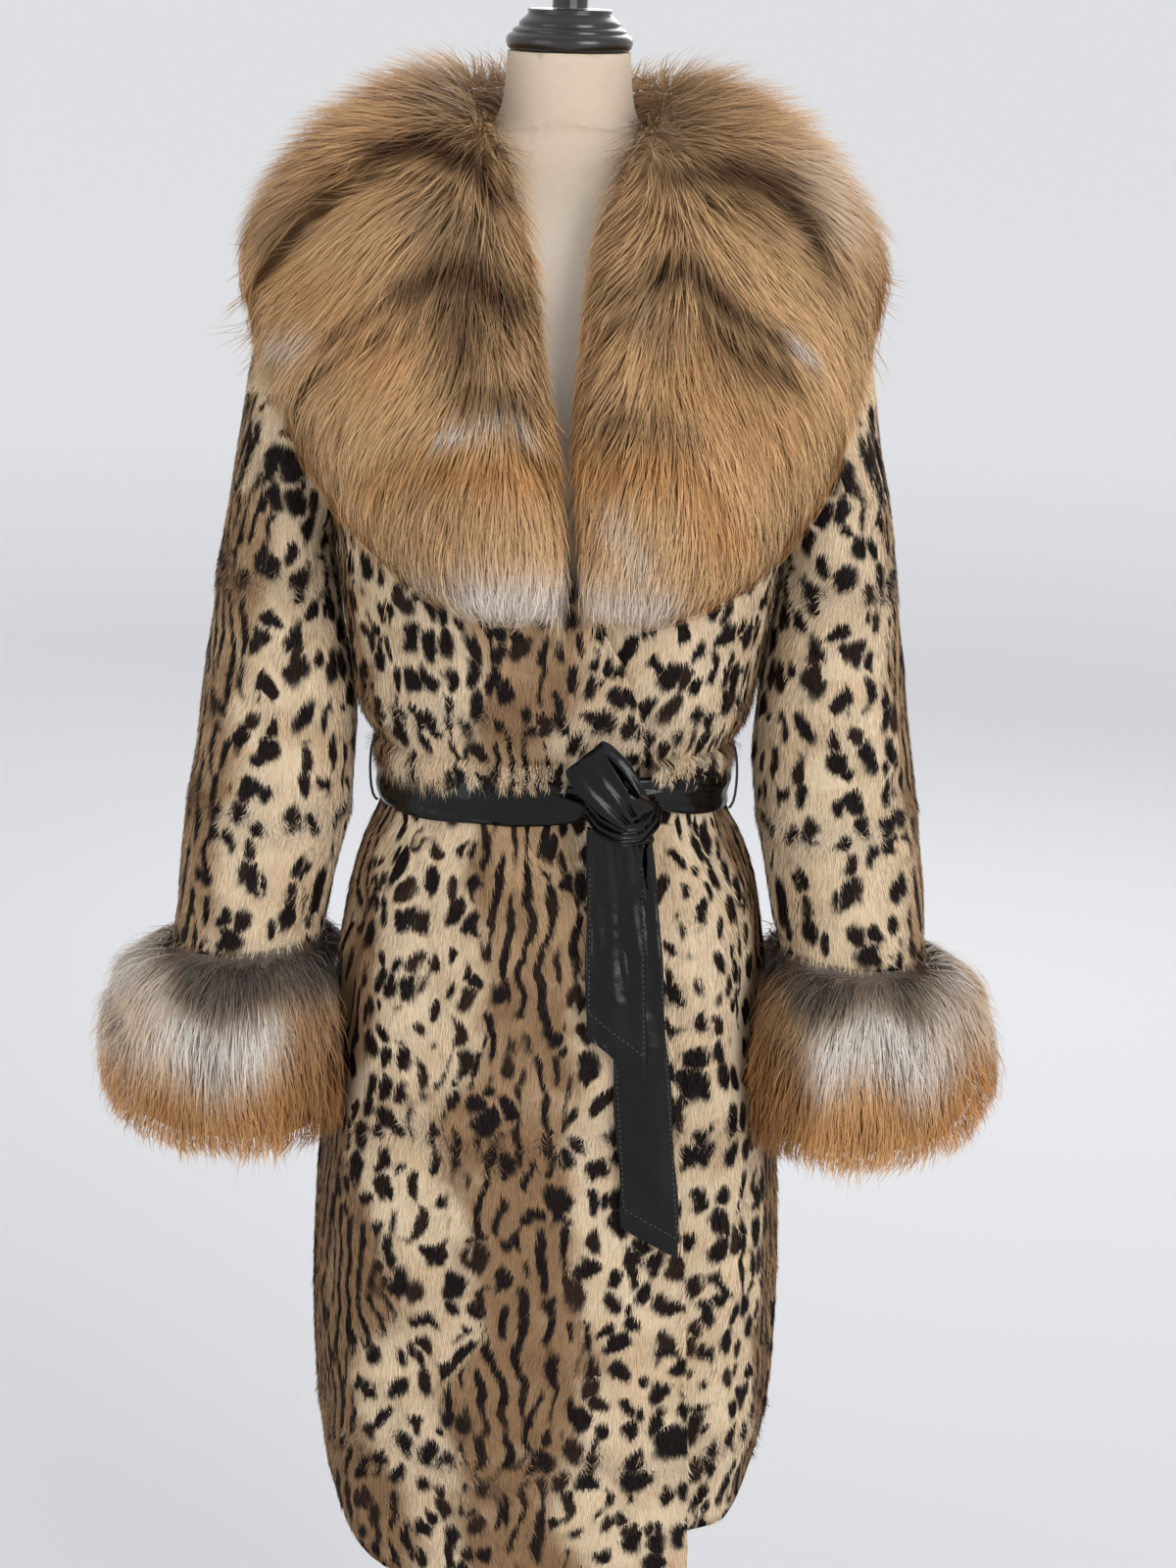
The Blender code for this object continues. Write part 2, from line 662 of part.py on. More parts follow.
def knot_lump(name, swell, collection):
    """A pulled half bow's knot: a lump drawn out along the strap's slant, with two creases across it."""
    bm = bmesh.new()
    bmesh.ops.create_uvsphere(bm, u_segments=18, v_segments=12, radius=1.0)
    slant = math.radians(-52)
    along = Vector((math.cos(slant), 0, math.sin(slant)))
    across = Vector((-along.z, 0, along.x))
    for vert in bm.verts:
        x, y, z = vert.co
        crease = 1.0 - 0.14 * math.exp(-((x - 0.15) / 0.20) ** 2) - 0.10 * math.exp(-((x - 0.75) / 0.16) ** 2)
        vert.co = (KNOT_MIDDLE + along * x * (KNOT_HALF_LENGTH + swell)
                   + across * z * (KNOT_HALF_WIDTH * crease + swell)
                   + Vector((0, 1, 0)) * y * (KNOT_HALF_DEPTH * crease + swell))
    return add_object(name, face_outward(bm), "belt_leather", collection)


TAIL_DROP = 0.085             # how far below the knot an end comes to lie on the coat


def tail_rows(first, last, clear, top_y, count=8):
    """Rows of a hanging end that drops from the knot and then follows the coat's front."""
    rows = []
    for i in range(count):
        share = i / (count - 1)
        x = first.x + (last.x - first.x) * share
        z = first.z + (last.z - first.z) * share
        skin = min(front_of_coat(x - 0.02, z), front_of_coat(x + 0.02, z)) - clear
        hang = top_y + (skin - top_y) * smooth_step(0.0, TAIL_DROP, first.z - z)
        y = min(skin, hang)
        width = first.width + (last.width - first.width) * share
        lean = first.lean + (last.lean - first.lean) * share
        rows.append(StrapRow(x, y, z, width, lean))
    return rows


def build_belt(body_form):
    build_belt_band()
    band_form = envelope("band_outside", COAT_SECTIONS, (WAIST_Z - BELT_WIDTH / 2, WAIST_Z + BELT_WIDTH / 2),
                         BAND_CLEAR + BELT_THICKNESS * BAND_CROWN + SEAT_GAP, False)
    knot = knot_lump("belt_knot", 0.0, PARTS)
    knot_form = knot_lump("knot_outside", SEAT_GAP, CUTTERS)
    knot_form.hide_render = True
    knot_form.display_type = "WIRE"
    bow = strap("belt_bow_loop", BOW_LOOP_ROWS, BELT_THICKNESS)
    front = strap("belt_tail_front",
                  tail_rows(StrapRow(0.048, 0, 0.946, 0.040, 0), StrapRow(0.053, 0, 0.793, 0.046, 0),
                            0.0110, -0.138), BELT_THICKNESS, slant=0.035, crown=0.0012)
    back = strap("belt_tail_back",
                 tail_rows(StrapRow(0.056, 0, 0.944, 0.038, 0), StrapRow(0.083, 0, 0.645, 0.045, 0),
                           0.0040, -0.127), BELT_THICKNESS, slant=0.027, crown=0.0012)
    for piece in (bow, front, back):
        cut(piece, knot_form)
    for piece in (knot, bow, front, back):
        cut(piece, body_form)
        cut(piece, band_form)


def build_belt_loop(name, side):
    """A thread loop on the side seam that holds the belt."""
    curve = bpy.data.curves.new(name, "CURVE")
    curve.dimensions = "3D"
    curve.bevel_depth = 0.0011
    curve.bevel_resolution = 1
    curve.use_fill_caps = True
    spline = curve.splines.new("POLY")
    reach, count = BELT_WIDTH / 2 + 0.006, 11
    proud_most, start = 0.0082, 0.0015
    turn = side * 87.0
    spline.points.add(count - 1)
    for i in range(count):
        angle = math.pi * i / (count - 1)
        z = WAIST_Z + reach * math.cos(angle)
        proud = proud_most * math.sin(angle) ** 0.6
        resting = coat_point(turn, z, start)
        clear = oval_point(COAT_SECTIONS, turn, WAIST_Z, start + proud)
        x = max(abs(resting.x), abs(clear.x))
        spline.points[i].co = (side * x, resting.y, z, 1.0)
    guide = bpy.data.objects.new(name + "_guide", curve)
    PARTS.objects.link(guide)
    depsgraph = bpy.context.evaluated_depsgraph_get()
    mesh = bpy.data.meshes.new_from_object(guide.evaluated_get(depsgraph))
    bm = bmesh.new()
    bm.from_mesh(mesh)
    bmesh.ops.remove_doubles(bm, verts=bm.verts[:], dist=1e-5)
    bpy.data.objects.remove(guide, do_unlink=True)
    bpy.data.meshes.remove(mesh)
    return add_object(name, face_outward(bm), "belt_thread")


# ---------------------------------------------------------------- dress form and stand
def build_torso(seat_form):
    sides = 28
    levels = [row.z for row in TORSO_SECTIONS]
    rings = []
    for z in levels:
        rings.append([oval_point(TORSO_SECTIONS, 360.0 * i / sides, z) for i in range(sides)])
    bm = face_outward(tube_surface(rings, True))
    made = add_object("form_torso", bm, "form_linen")
    cut(made, seat_form)
    return made


def turned(name, profile, finish, steps=24):
    """A turned piece from a profile of (radius, z), top to bottom, both ends on the axis."""
    bm = bmesh.new()
    verts = [bm.verts.new((radius, 0, z)) for radius, z in profile]
    for upper, lower in zip(verts, verts[1:]):
        bm.edges.new((upper, lower))
    made = add_object(name, bm, finish)
    screw = made.modifiers.new("turn", "SCREW")
    screw.axis = "Z"
    screw.angle = 2 * math.pi
    screw.steps = steps
    screw.render_steps = steps
    screw.use_merge_vertices = True
    screw.merge_threshold = 0.0001
    return made


def build_stand():
    rim = NECK_RIM_Z + SEAT_GAP
    centre_y = TORSO_SECTIONS[0].centre_y
    cap = turned("form_neck_cap", (
        (0.0, rim + 0.0300), (0.0315, rim + 0.0300), (0.0325, rim + 0.0285), (0.0325, rim + 0.0265),
        (0.0305, rim + 0.0245), (0.0320, rim + 0.0215), (0.0375, rim + 0.0175), (0.0400, rim + 0.0155),
        (0.0400, rim + 0.0140), (0.0450, rim + 0.0125), (0.0468, rim + 0.0095), (0.0470, rim + 0.0060),
        (0.0455, rim + 0.0020), (0.0430, rim), (0.0, rim)), "form_wood")
    cap.location.y = centre_y
    top = rim + 0.0300 + SEAT_GAP
    finial = turned("form_finial", (
        (0.0, top + 0.060), (0.0090, top + 0.0575), (0.0150, top + 0.050), (0.0165, top + 0.041),
        (0.0140, top + 0.032), (0.0105, top + 0.027), (0.0130, top + 0.022), (0.0131, top + 0.002),
        (0.0135, top), (0.0, top)), "form_wood", 16)
    finial.location.y = centre_y
    pole_top = TORSO_BOTTOM_Z - SEAT_GAP
    pole_bottom = BASE_THICKNESS + 0.020 + SEAT_GAP
    turned("form_pole", (
        (0.0, pole_top), (0.0300, pole_top), (0.0300, pole_top - 0.006), (POLE_RADIUS, pole_top - 0.020),
        (POLE_RADIUS, pole_bottom), (0.0, pole_bottom)), "stand_metal", 16)
    turned("form_base", (
        (0.0, BASE_THICKNESS + 0.020), (0.0240, BASE_THICKNESS + 0.020), (0.0270, BASE_THICKNESS + 0.016),
        (0.0280, BASE_THICKNESS + 0.004), (0.0330, BASE_THICKNESS), (BASE_RADIUS - 0.005, BASE_THICKNESS - 0.004),
        (BASE_RADIUS, BASE_THICKNESS - 0.008), (BASE_RADIUS, 0.002), (BASE_RADIUS - 0.002, 0.0), (0.0, 0.0)),
        "stand_metal", 32)


# ---------------------------------------------------------------- assembly
def build():
    upper_levels = [z for z in COAT_ROWS if z >= 0.60]
    body_form = envelope("body_outside", COAT_SECTIONS, upper_levels, SEAM_GAP, True)
    seat_levels = [z for z in COAT_ROWS if 1.2 < z]
    panels = build_panels()
    hollow_right, outer_right = build_sleeve("sleeve_left", 1, body_form)
    hollow_left, outer_left = build_sleeve("sleeve_right", -1, body_form)
    for piece in panels:
        cut(piece, hollow_right)
        cut(piece, hollow_left)
    build_cuff("cuff_left", 1)
    build_cuff("cuff_right", -1)
    torso_form = envelope("torso_outside", TORSO_SECTIONS, [row.z for row in TORSO_SECTIONS], SEAT_GAP, False)
    collar_seat = envelope("collar_seat", COAT_SECTIONS, upper_levels, COLLAR_SEAT, True, COLLAR_LIFT)
    build_collar((collar_seat, outer_right, outer_left, torso_form))
    build_belt(body_form)
    build_belt_loop("belt_loop_left", 1)
    build_belt_loop("belt_loop_right", -1)
    seat_rows = [[coat_point(360.0 * i / 48, z, SEAT_GAP) for i in range(48)] for z in seat_levels]
    seat = add_cutter("shoulder_seat", face_outward(tube_surface(seat_rows, False)))
    solidify(seat, WALL + 2 * SEAT_GAP)
    build_torso(seat)
    build_stand()


build()
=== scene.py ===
# %% [markdown]
# # A faux fur coat on a dress form
#
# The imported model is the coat's rigid frame: panels, sleeves, collar, cuffs and
# belt as plain closed solids on a dress form. This lesson dresses it. Short
# spotted pile covers the panels and sleeves, long fur covers the collar and the
# cuffs, and the belt, the form's linen and its turned cap get their own finish.
# The model comes first, because each piece is made on the solid it stands for.

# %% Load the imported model
import json
import math

import bmesh
import bpy
import numpy as np
from mathutils import Matrix, Vector
from mathutils.bvhtree import BVHTree
from mathutils.kdtree import KDTree

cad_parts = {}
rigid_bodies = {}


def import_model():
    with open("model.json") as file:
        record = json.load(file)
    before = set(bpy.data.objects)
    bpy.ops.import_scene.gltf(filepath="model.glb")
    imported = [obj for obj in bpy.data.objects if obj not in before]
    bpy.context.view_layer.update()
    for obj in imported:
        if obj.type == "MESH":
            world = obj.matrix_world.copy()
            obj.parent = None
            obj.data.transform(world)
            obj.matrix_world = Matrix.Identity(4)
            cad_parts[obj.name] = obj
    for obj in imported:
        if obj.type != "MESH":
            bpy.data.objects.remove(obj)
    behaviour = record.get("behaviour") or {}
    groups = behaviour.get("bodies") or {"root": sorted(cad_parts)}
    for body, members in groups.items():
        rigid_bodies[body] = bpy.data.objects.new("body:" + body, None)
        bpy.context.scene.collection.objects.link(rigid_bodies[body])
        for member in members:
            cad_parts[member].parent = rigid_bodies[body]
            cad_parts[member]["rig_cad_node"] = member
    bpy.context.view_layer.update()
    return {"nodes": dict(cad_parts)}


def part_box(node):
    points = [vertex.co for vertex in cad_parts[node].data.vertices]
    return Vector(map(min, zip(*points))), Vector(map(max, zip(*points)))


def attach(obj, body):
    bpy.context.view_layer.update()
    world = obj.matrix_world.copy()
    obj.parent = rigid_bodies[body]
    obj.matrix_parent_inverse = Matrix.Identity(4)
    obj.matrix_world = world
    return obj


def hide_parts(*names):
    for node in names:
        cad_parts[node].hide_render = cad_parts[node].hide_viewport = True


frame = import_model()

NODES = frame["nodes"]

# %% [markdown]
# ## Camera
#
# The picture was taken from eye height, 2.4 m away, tipped a little down and a
# little to one side. Giving the place and three angles keeps the same view
# whatever is added later, which framing the object would not.

# %% Place the camera
CAMERA_PLACE = (0.027, -2.44, 1.60)
CAMERA_DOWN = math.radians(15.1)
CAMERA_ROLL = math.radians(1.4)
CAMERA_LENS = 74.25

camera_data = bpy.data.cameras.new("camera")
camera_data.sensor_width = 36
camera_data.lens = CAMERA_LENS
camera = bpy.data.objects.new("camera", camera_data)
bpy.context.scene.collection.objects.link(camera)
camera.matrix_world = (
    Matrix.Translation(CAMERA_PLACE)
    @ Matrix.Rotation(math.pi / 2 - CAMERA_DOWN, 4, "X")
    @ Matrix.Rotation(CAMERA_ROLL, 4, "Z")
)
bpy.context.scene.camera = camera
print("camera at", CAMERA_PLACE, "lens", CAMERA_LENS)

# %% [markdown]
# ## Shader helpers
#
# Every finish here is a small graph of nodes. A class holds a tree and short
# ways to add to it: a node with its inputs filled, a sum, a soft step, a blend of
# two colours. A graph that several finishes share is a node group, built once.

# %% Add and join nodes
class Graph:
    """A tree of shader nodes, with short ways to add what the finishes use."""

    def __init__(self, tree):
        self.tree = tree

    def add(self, kind, feeds=(), **settings):
        """A new node with its settings, each input fed by a socket or a value."""
        made = self.tree.nodes.new(kind)
        for key, value in settings.items():
            setattr(made, key, value)
        for key, value in feeds:
            if isinstance(value, bpy.types.NodeSocket):
                self.link(value, made.inputs[key])
            else:
                made.inputs[key].default_value = value
        return made

    def link(self, source, target):
        """Feeds an input from an output."""
        self.tree.links.new(source, target)

    def calc(self, operation, first, second=0.0):
        """The result of a sum on two numbers."""
        feeds = [(0, first), (1, second)]
        return self.add("ShaderNodeMath", feeds, operation=operation).outputs[0]

    def vector(self, operation, first, second=(0.0, 0.0, 0.0)):
        """The result of a sum on two vectors, a number for a length."""
        feeds = [(0, first), (1, second)]
        made = self.add("ShaderNodeVectorMath", feeds, operation=operation)
        return made.outputs["Value" if operation == "LENGTH" else "Vector"]

    def step(self, value, low, high):
        """0 at low and 1 at high, with a soft start and end."""
        feeds = [("Value", value), ("From Min", low), ("From Max", high)]
        kind = "SMOOTHSTEP"
        return self.add("ShaderNodeMapRange", feeds, interpolation_type=kind).outputs[0]

    def between(self, share, low, high):
        """Low at share 0 and high at share 1."""
        feeds = [("Value", share), ("To Min", low), ("To Max", high)]
        return self.add("ShaderNodeMapRange", feeds).outputs[0]

    def mix(self, share, first, second):
        """The first number at share 0 and the second at share 1."""
        feeds = [(0, share), (2, first), (3, second)]
        return self.add("ShaderNodeMix", feeds).outputs[0]

    def blend(self, share, first, second, kind="MIX"):
        """The first colour at share 0 and the second at share 1."""
        feeds = [(0, share), (6, first), (7, second)]
        settings = {"data_type": "RGBA", "blend_type": kind}
        return self.add("ShaderNodeMix", feeds, **settings).outputs[2]

    def shade(self, colour, value):
        """A colour made lighter or darker by a number."""
        feeds = [("Red", value), ("Green", value), ("Blue", value)]
        grey = self.add("ShaderNodeCombineColor", feeds).outputs["Color"]
        return self.blend(1.0, colour, grey, "MULTIPLY")

    def noise(self, place, scale, detail=2.0, roughness=0.5):
        """A noise texture's outputs."""
        feeds = [("Vector", place), ("Scale", scale), ("Detail", detail)]
        feeds.append(("Roughness", roughness))
        return self.add("ShaderNodeTexNoise", feeds).outputs

    def place(self):
        """The place on the object, in metres."""
        return self.add("ShaderNodeTexCoord").outputs["Object"]

    def attribute(self, name):
        """A number that each vertex of the mesh holds."""
        return self.add("ShaderNodeAttribute", attribute_name=name).outputs["Fac"]

    def bump(self, height, strength, distance, feeds=()):
        """The normal that a height gives."""
        sizes = [("Height", height), ("Strength", strength), ("Distance", distance)]
        return self.add("ShaderNodeBump", [*sizes, *feeds]).outputs["Normal"]


# %% Start a node group or a material
SHADER_INPUTS = {
    "roughness": "Roughness",
    "gloss": "Specular IOR Level",
    "coat": "Coat Weight",
    "coat_roughness": "Coat Roughness",
}


def new_group(name, inputs, outputs):
    """A node group, its graph, and its own input and output sockets."""
    group = bpy.data.node_groups.new(name, "ShaderNodeTree")
    sides = [("INPUT", row) for row in inputs] + [("OUTPUT", row) for row in outputs]
    for side, (label, kind) in sides:
        group.interface.new_socket(name=label, in_out=side, socket_type=kind)
    take = group.nodes.new("NodeGroupInput").outputs
    give = group.nodes.new("NodeGroupOutput").inputs
    return group, Graph(group), take, give


def new_material(name, **constants):
    """A material, its graph and the inputs of its Principled shader."""
    material = bpy.data.materials.new(name)
    material.use_nodes = True
    tree = material.node_tree
    shader = tree.nodes["Principled BSDF"].inputs
    for label, value in constants.items():
        shader[SHADER_INPUTS[label]].default_value = value
    return material, Graph(tree), shader

# %% [markdown]
# Every piece starts as a bmesh or as arrays, so two more helpers turn a finished
# shape into a mesh and show it in the scene.

# %% Turn shapes into pieces
def as_mesh(name, shape):
    """A finished bmesh as a mesh of its own."""
    mesh = bpy.data.meshes.new(name)
    shape.to_mesh(mesh)
    shape.free()
    return mesh


def in_scene(name, data):
    """An object that shows a mesh, a light or a camera."""
    thing = bpy.data.objects.new(name, data)
    bpy.context.scene.collection.objects.link(thing)
    return thing


# %% [markdown]
# ## Floor and light
#
# The coat stands in a pale room in soft daylight. A wide floor fills the whole
# view, because the camera looks down past the coat. One large window light
# stands in front and to the right, a weaker one fills the other side, a third
# one behind parts the fur from the background, and a pale sky lights the rest.

# %% Lay the floor
FLOOR_SIDE = 170.0
# The floor's colour holds painted light: darker near the coat, where the lamps shine,
# and lighter far off, where only the sky reaches.
FLOOR_NEAR_PAINTED_SHADE = (0.65, 0.655, 0.67, 1)
FLOOR_FAR_PAINTED_LIGHT = (0.96, 0.965, 0.975, 1)
FLOOR_PAINTED_LIGHT_FADE = (0.5, 9.0)
FLOOR_CLOUD = 0.08

shape = bmesh.new()
bmesh.ops.create_grid(shape, x_segments=2, y_segments=2, size=FLOOR_SIDE / 2)
floor = in_scene("floor", as_mesh("floor", shape))
floor_paint, graph, shader = new_material("floor_paint", roughness=0.85)
place = graph.place()
cloud = graph.noise(place, 0.7)["Fac"]
# Painted light: the floor grows lighter with distance from the coat.
far = graph.step(graph.vector("LENGTH", place), *FLOOR_PAINTED_LIGHT_FADE)
tone = graph.calc("ADD", far, graph.calc("MULTIPLY", cloud, FLOOR_CLOUD))
graph.link(graph.blend(tone, FLOOR_NEAR_PAINTED_SHADE, FLOOR_FAR_PAINTED_LIGHT), shader["Base Color"])
floor.data.materials.append(floor_paint)

# %% Hang the lights
LIGHTS = [  # name, place, side, watts
    ("window", (2.4, -3.3, 2.2), 2.2, 86),
    ("fill", (-3.0, -2.6, 1.7), 2.2, 20),
    ("rim", (0.6, 2.8, 2.6), 2.0, 36),
]
LIGHTS_AIM = Vector((0.0, 0.0, 1.0))
SKY_COLOUR = (0.97, 0.98, 1.0, 1)
SKY_STRENGTH = 0.78

for name, place, side, watts in LIGHTS:
    data = bpy.data.lights.new(name, "AREA")
    data.shape, data.size, data.energy = "SQUARE", side, watts
    light = in_scene(name, data)
    light.location = place
    turn = (LIGHTS_AIM - light.location).to_track_quat("-Z", "Y")
    light.rotation_euler = turn.to_euler()
world = bpy.data.worlds.new("sky")
world.use_nodes = True
sky = world.node_tree.nodes["Background"].inputs
sky["Color"].default_value = SKY_COLOUR
sky["Strength"].default_value = SKY_STRENGTH
bpy.context.scene.world = world
bpy.context.scene.view_settings.view_transform = "Standard"
print("lights", [row[0] for row in LIGHTS])

# %% [markdown]
# ## Places on the cloth
#
# A print has to follow the cloth, so each point of a panel needs its place on
# that cloth: how far round it is, and how far along. Unwrapping by hand would
# give one answer for the panel and another for the hairs on it. A short table
# of the garment's sections gives both the same one. Round the body it is the
# angle times a mean radius, with the height; on a sleeve it is the same about
# the sleeve's own line.

# %% Work out the place of a point
BODY_RADIUS = 0.165
BODY_SECTIONS = [  # height, half width, half depth, y of the middle
    (1.450, 0.070, 0.060, 0.012),
    (1.412, 0.132, 0.088, 0.004),
    (1.350, 0.177, 0.112, -0.003),
    (1.210, 0.179, 0.134, -0.010),
    (1.050, 0.155, 0.122, -0.008),
    (0.955, 0.133, 0.099, -0.005),
    (0.850, 0.164, 0.126, -0.008),
    (0.650, 0.186, 0.145, -0.009),
    (0.430, 0.188, 0.147, -0.007),
    (0.300, 0.175, 0.138, -0.006),
]
SLEEVE_RADIUS = 0.062
SLEEVE_LINE = [  # x, y and z down the middle of a sleeve
    (0.120, 0.004, 1.310),
    (0.169, 0.003, 1.281),
    (0.199, 0.001, 1.226),
    (0.208, -0.002, 1.150),
    (0.212, -0.007, 1.052),
    (0.219, -0.014, 0.935),
    (0.238, -0.022, 0.818),
]
MAP_SIDE = 1.6
MAP_START = {"body": (0.32, 0.05), "sleeve": (0.4, 0.1)}


def body_place(points, behind):
    """Distance round the body and height, and which way is out."""
    heights, widths, depths, middles = np.array(BODY_SECTIONS[::-1]).T
    x, y, z = points.T
    half_width = np.interp(z, heights, widths)
    half_depth = np.interp(z, heights, depths)
    y = y - np.interp(z, heights, middles)
    turn = np.arctan2(x / half_width, -y / half_depth)
    if behind:
        turn = turn % (2 * math.pi)
    out = np.stack([x / half_width**2, y / half_depth**2, 0 * z], axis=1)
    return np.stack([turn * BODY_RADIUS, z], axis=1), unit(out)


def sleeve_place(points, side):
    """Distance round the sleeve and along it, and which ways are out and down."""
    line = np.array(SLEEVE_LINE) * (side, 1, 1)
    best = np.full(len(points), np.inf)
    along = np.zeros(len(points))
    middle, down = np.zeros_like(points), np.zeros_like(points)
    passed = 0.0
    for start, end in zip(line[:-1], line[1:]):
        step = end - start
        length = np.linalg.norm(step)
        share = (points - start) @ step / length**2
        share = np.clip(share, -0.5 if passed == 0 else 0, 1.5)
        foot = start + share[:, None] * step
        gap = np.linalg.norm(points - foot, axis=1)
        near = gap < best
        best[near], along[near] = gap[near], passed + share[near] * length
        middle[near], down[near] = foot[near], step / length
        passed += length
    out = unit(along_face(points - middle, down))
    turn = np.arctan2(-out[:, 1], out[:, 0] * side)
    place = np.stack([turn * SLEEVE_RADIUS, -along], axis=1)
    return place, out, down


def unit(vectors):
    """Each row at length 1."""
    return vectors / np.maximum(np.linalg.norm(vectors, axis=1), 1e-9)[:, None]


def along_face(ways, normals):
    """Each way without its part along the normal."""
    return ways - (ways * normals).sum(1)[:, None] * normals


def line_gap(points, start, end):
    """How far along a line each point lies, from 0 to 1, and how far from it."""
    start, step = np.array(start), np.subtract(end, start)
    share = np.clip((points - start) @ step / (step @ step), 0, 1)
    return share, np.linalg.norm(points - start - share[:, None] * step, axis=1)


# %% [markdown]
# ## The print's zones
#
# Each pelt of a spotted coat is brown with long streaks along the animal's
# back, and cream with round spots on its flanks. The pelts hang side by side,
# joined in rows, with the hair a little disturbed at each join. A short table
# places the brown strips, and a list gives the heights of the joins.

# %% Place the brown strips and the joins
STRIPS = {  # panel: middle and half width at the top and at the hem
    "coat_front_over": [
        (-0.026, 0.042, -0.012, 0.046),
        (-0.258, 0.052, -0.225, 0.125),
    ],
    "coat_front_under": [(0.258, 0.044, 0.262, 0.080)],
    "coat_back": [
        (0.262, 0.040, 0.262, 0.070),
        (0.518, 0.045, 0.518, 0.050),
        (0.776, 0.040, 0.776, 0.070),
    ],
    "sleeve_right": [(0.045, 0.052, 0.026, 0.042)],
    "sleeve_left": [(0.010, 0.040, 0.006, 0.040)],
}
JOINS = {"body": (1.020, 0.694, 0.428), "sleeve": (-0.235, -0.420)}
SPANS = {"body": (1.30, 0.35), "sleeve": (0.0, -0.55)}
JOIN_HALF = 0.013
STRIP_EDGE = (-0.022, 0.016)
STRIP_UNEVEN = 0.16
JOIN_BREAKS = 0.35
DEEP_TOP, DEEP_HEM = 0.15, 0.85
DEEP_SPAN = (0.42, 0.75)


def zones(panel, place):
    """How brown, how streaked and how disturbed each place is."""
    kind = "sleeve" if "sleeve" in panel else "body"
    across, along = place.T
    top, bottom = SPANS[kind]
    down = np.clip((top - along) / (top - bottom), 0, 1)
    wander = 0.010 * np.sin(along * 23 + 1.3) + 0.006 * np.sin(along * 61)
    brown = np.zeros(len(place))
    for middle_top, half_top, middle_low, half_low in STRIPS[panel]:
        middle = middle_top + (middle_low - middle_top) * down + wander
        half = half_top + (half_low - half_top) * down
        half = half * (1 + STRIP_UNEVEN * np.sin(along * 31 + 40 * middle_top))
        gap = np.abs(across - middle) - half
        brown = np.maximum(brown, 1 - ramp(gap, *STRIP_EDGE))
    join = np.zeros(len(place))
    waver = 0.006 * np.sin(across * 47) + 0.004 * np.sin(across * 131 + 2)
    for height in JOINS[kind]:
        join = np.maximum(join, np.exp(-(((along - height - waver) / JOIN_HALF) ** 2)))
    streak = brown * (1 - JOIN_BREAKS * join)
    lower = ramp(down, *DEEP_SPAN) * (kind == "body")
    deep = DEEP_TOP + (DEEP_HEM - DEEP_TOP) * lower
    return {"brown": brown, "streak": streak, "join": join, "deep": deep}


def ramp(values, low, high):
    """0 below low and 1 above high, with a soft start and end."""
    share = np.clip((values - low) / (high - low), 0, 1)
    return share * share * (3 - 2 * share)


# %% [markdown]
# ## The spotted print
#
# The marks are ovals about 14 by 23 mm, no two alike. A Voronoi texture scatters
# one point in each cell of a grid; measured from that point, turned and
# squeezed by chance, the distance makes an oval. A Gabor texture, whose waves
# fork and fade, makes the streaks on the brown, and a shorter one the curls on
# the cream. Everything is bent by a slow noise, so nothing lines up.

# %% Draw one layer of ovals
OVAL_SCATTER = 0.82
OVAL_SIZES = (0.62, 1.22)
OVAL_EDGE = (1.26, 0.80)


def ovals(graph, place, cell, half, turn, rough):
    """A mask of soft ovals, one to a cell, and each cell's own chances."""
    scaled = graph.vector("MULTIPLY", place, (1 / cell[0], 1 / cell[1], 0))
    feeds = [("Vector", scaled), ("Scale", 1.0), ("Randomness", OVAL_SCATTER)]
    cells = graph.add("ShaderNodeTexVoronoi", feeds, voronoi_dimensions="2D").outputs
    local = graph.vector("SUBTRACT", scaled, cells["Position"])
    feeds = [("Color", cells["Color"])]
    chance = graph.add("ShaderNodeSeparateColor", feeds).outputs
    angle = graph.calc("MULTIPLY", graph.calc("SUBTRACT", chance["Red"], 0.5), turn)
    feeds = [("Vector", local), ("Angle", angle)]
    turned = graph.add("ShaderNodeVectorRotate", feeds, rotation_type="Z_AXIS")
    squeeze = (1 / half[0], 1 / half[1], 0)
    squeezed = graph.vector("MULTIPLY", turned.outputs["Vector"], squeeze)
    size = graph.between(chance["Green"], *OVAL_SIZES)
    reach = graph.calc("DIVIDE", graph.vector("LENGTH", squeezed), size)
    return graph.step(graph.calc("ADD", reach, rough), *OVAL_EDGE), chance


# %% Draw wandering bars
BAR_EDGE = (-0.020, 0.045)
BAR_ROUGH = 0.10
FLAT_TURN = 4  # the first of the Gabor node's two Orientation inputs


def bars(graph, place, squeeze, scale, count, straight, cut, rough):
    """A mask of bars that fork and break off, as on a striped pelt."""
    feeds = [("Vector", graph.vector("MULTIPLY", place, squeeze)), ("Scale", scale)]
    feeds += [("Frequency", count), ("Anisotropy", straight), (FLAT_TURN, 0.0)]
    waves = graph.add("ShaderNodeTexGabor", feeds).outputs["Value"]
    waves = graph.calc("ADD", waves, graph.calc("MULTIPLY", rough, BAR_ROUGH))
    return graph.step(waves, cut + BAR_EDGE[0], cut + BAR_EDGE[1])


# %% Draw the marks
ZONES = ("brown", "streak", "join", "deep")
ROUGHNESS_OF_EDGES = 0.36
SPOT_BEND = (0.034, 0.024, 0)
BAR_BEND = (0.020, 0.010, 0)
SPOTS = {"cell": (0.0190, 0.0265), "half": (0.36, 0.43), "turn": 0.9}
FLECKS = {"cell": (0.031, 0.043), "half": (0.12, 0.13), "turn": 2.4}
STREAKS = {"squeeze": (1.0, 0.42, 0), "scale": 38.0, "count": 1.80}
CURLS = {"squeeze": (1.0, 0.80, 0), "scale": 27.0, "count": 1.75}

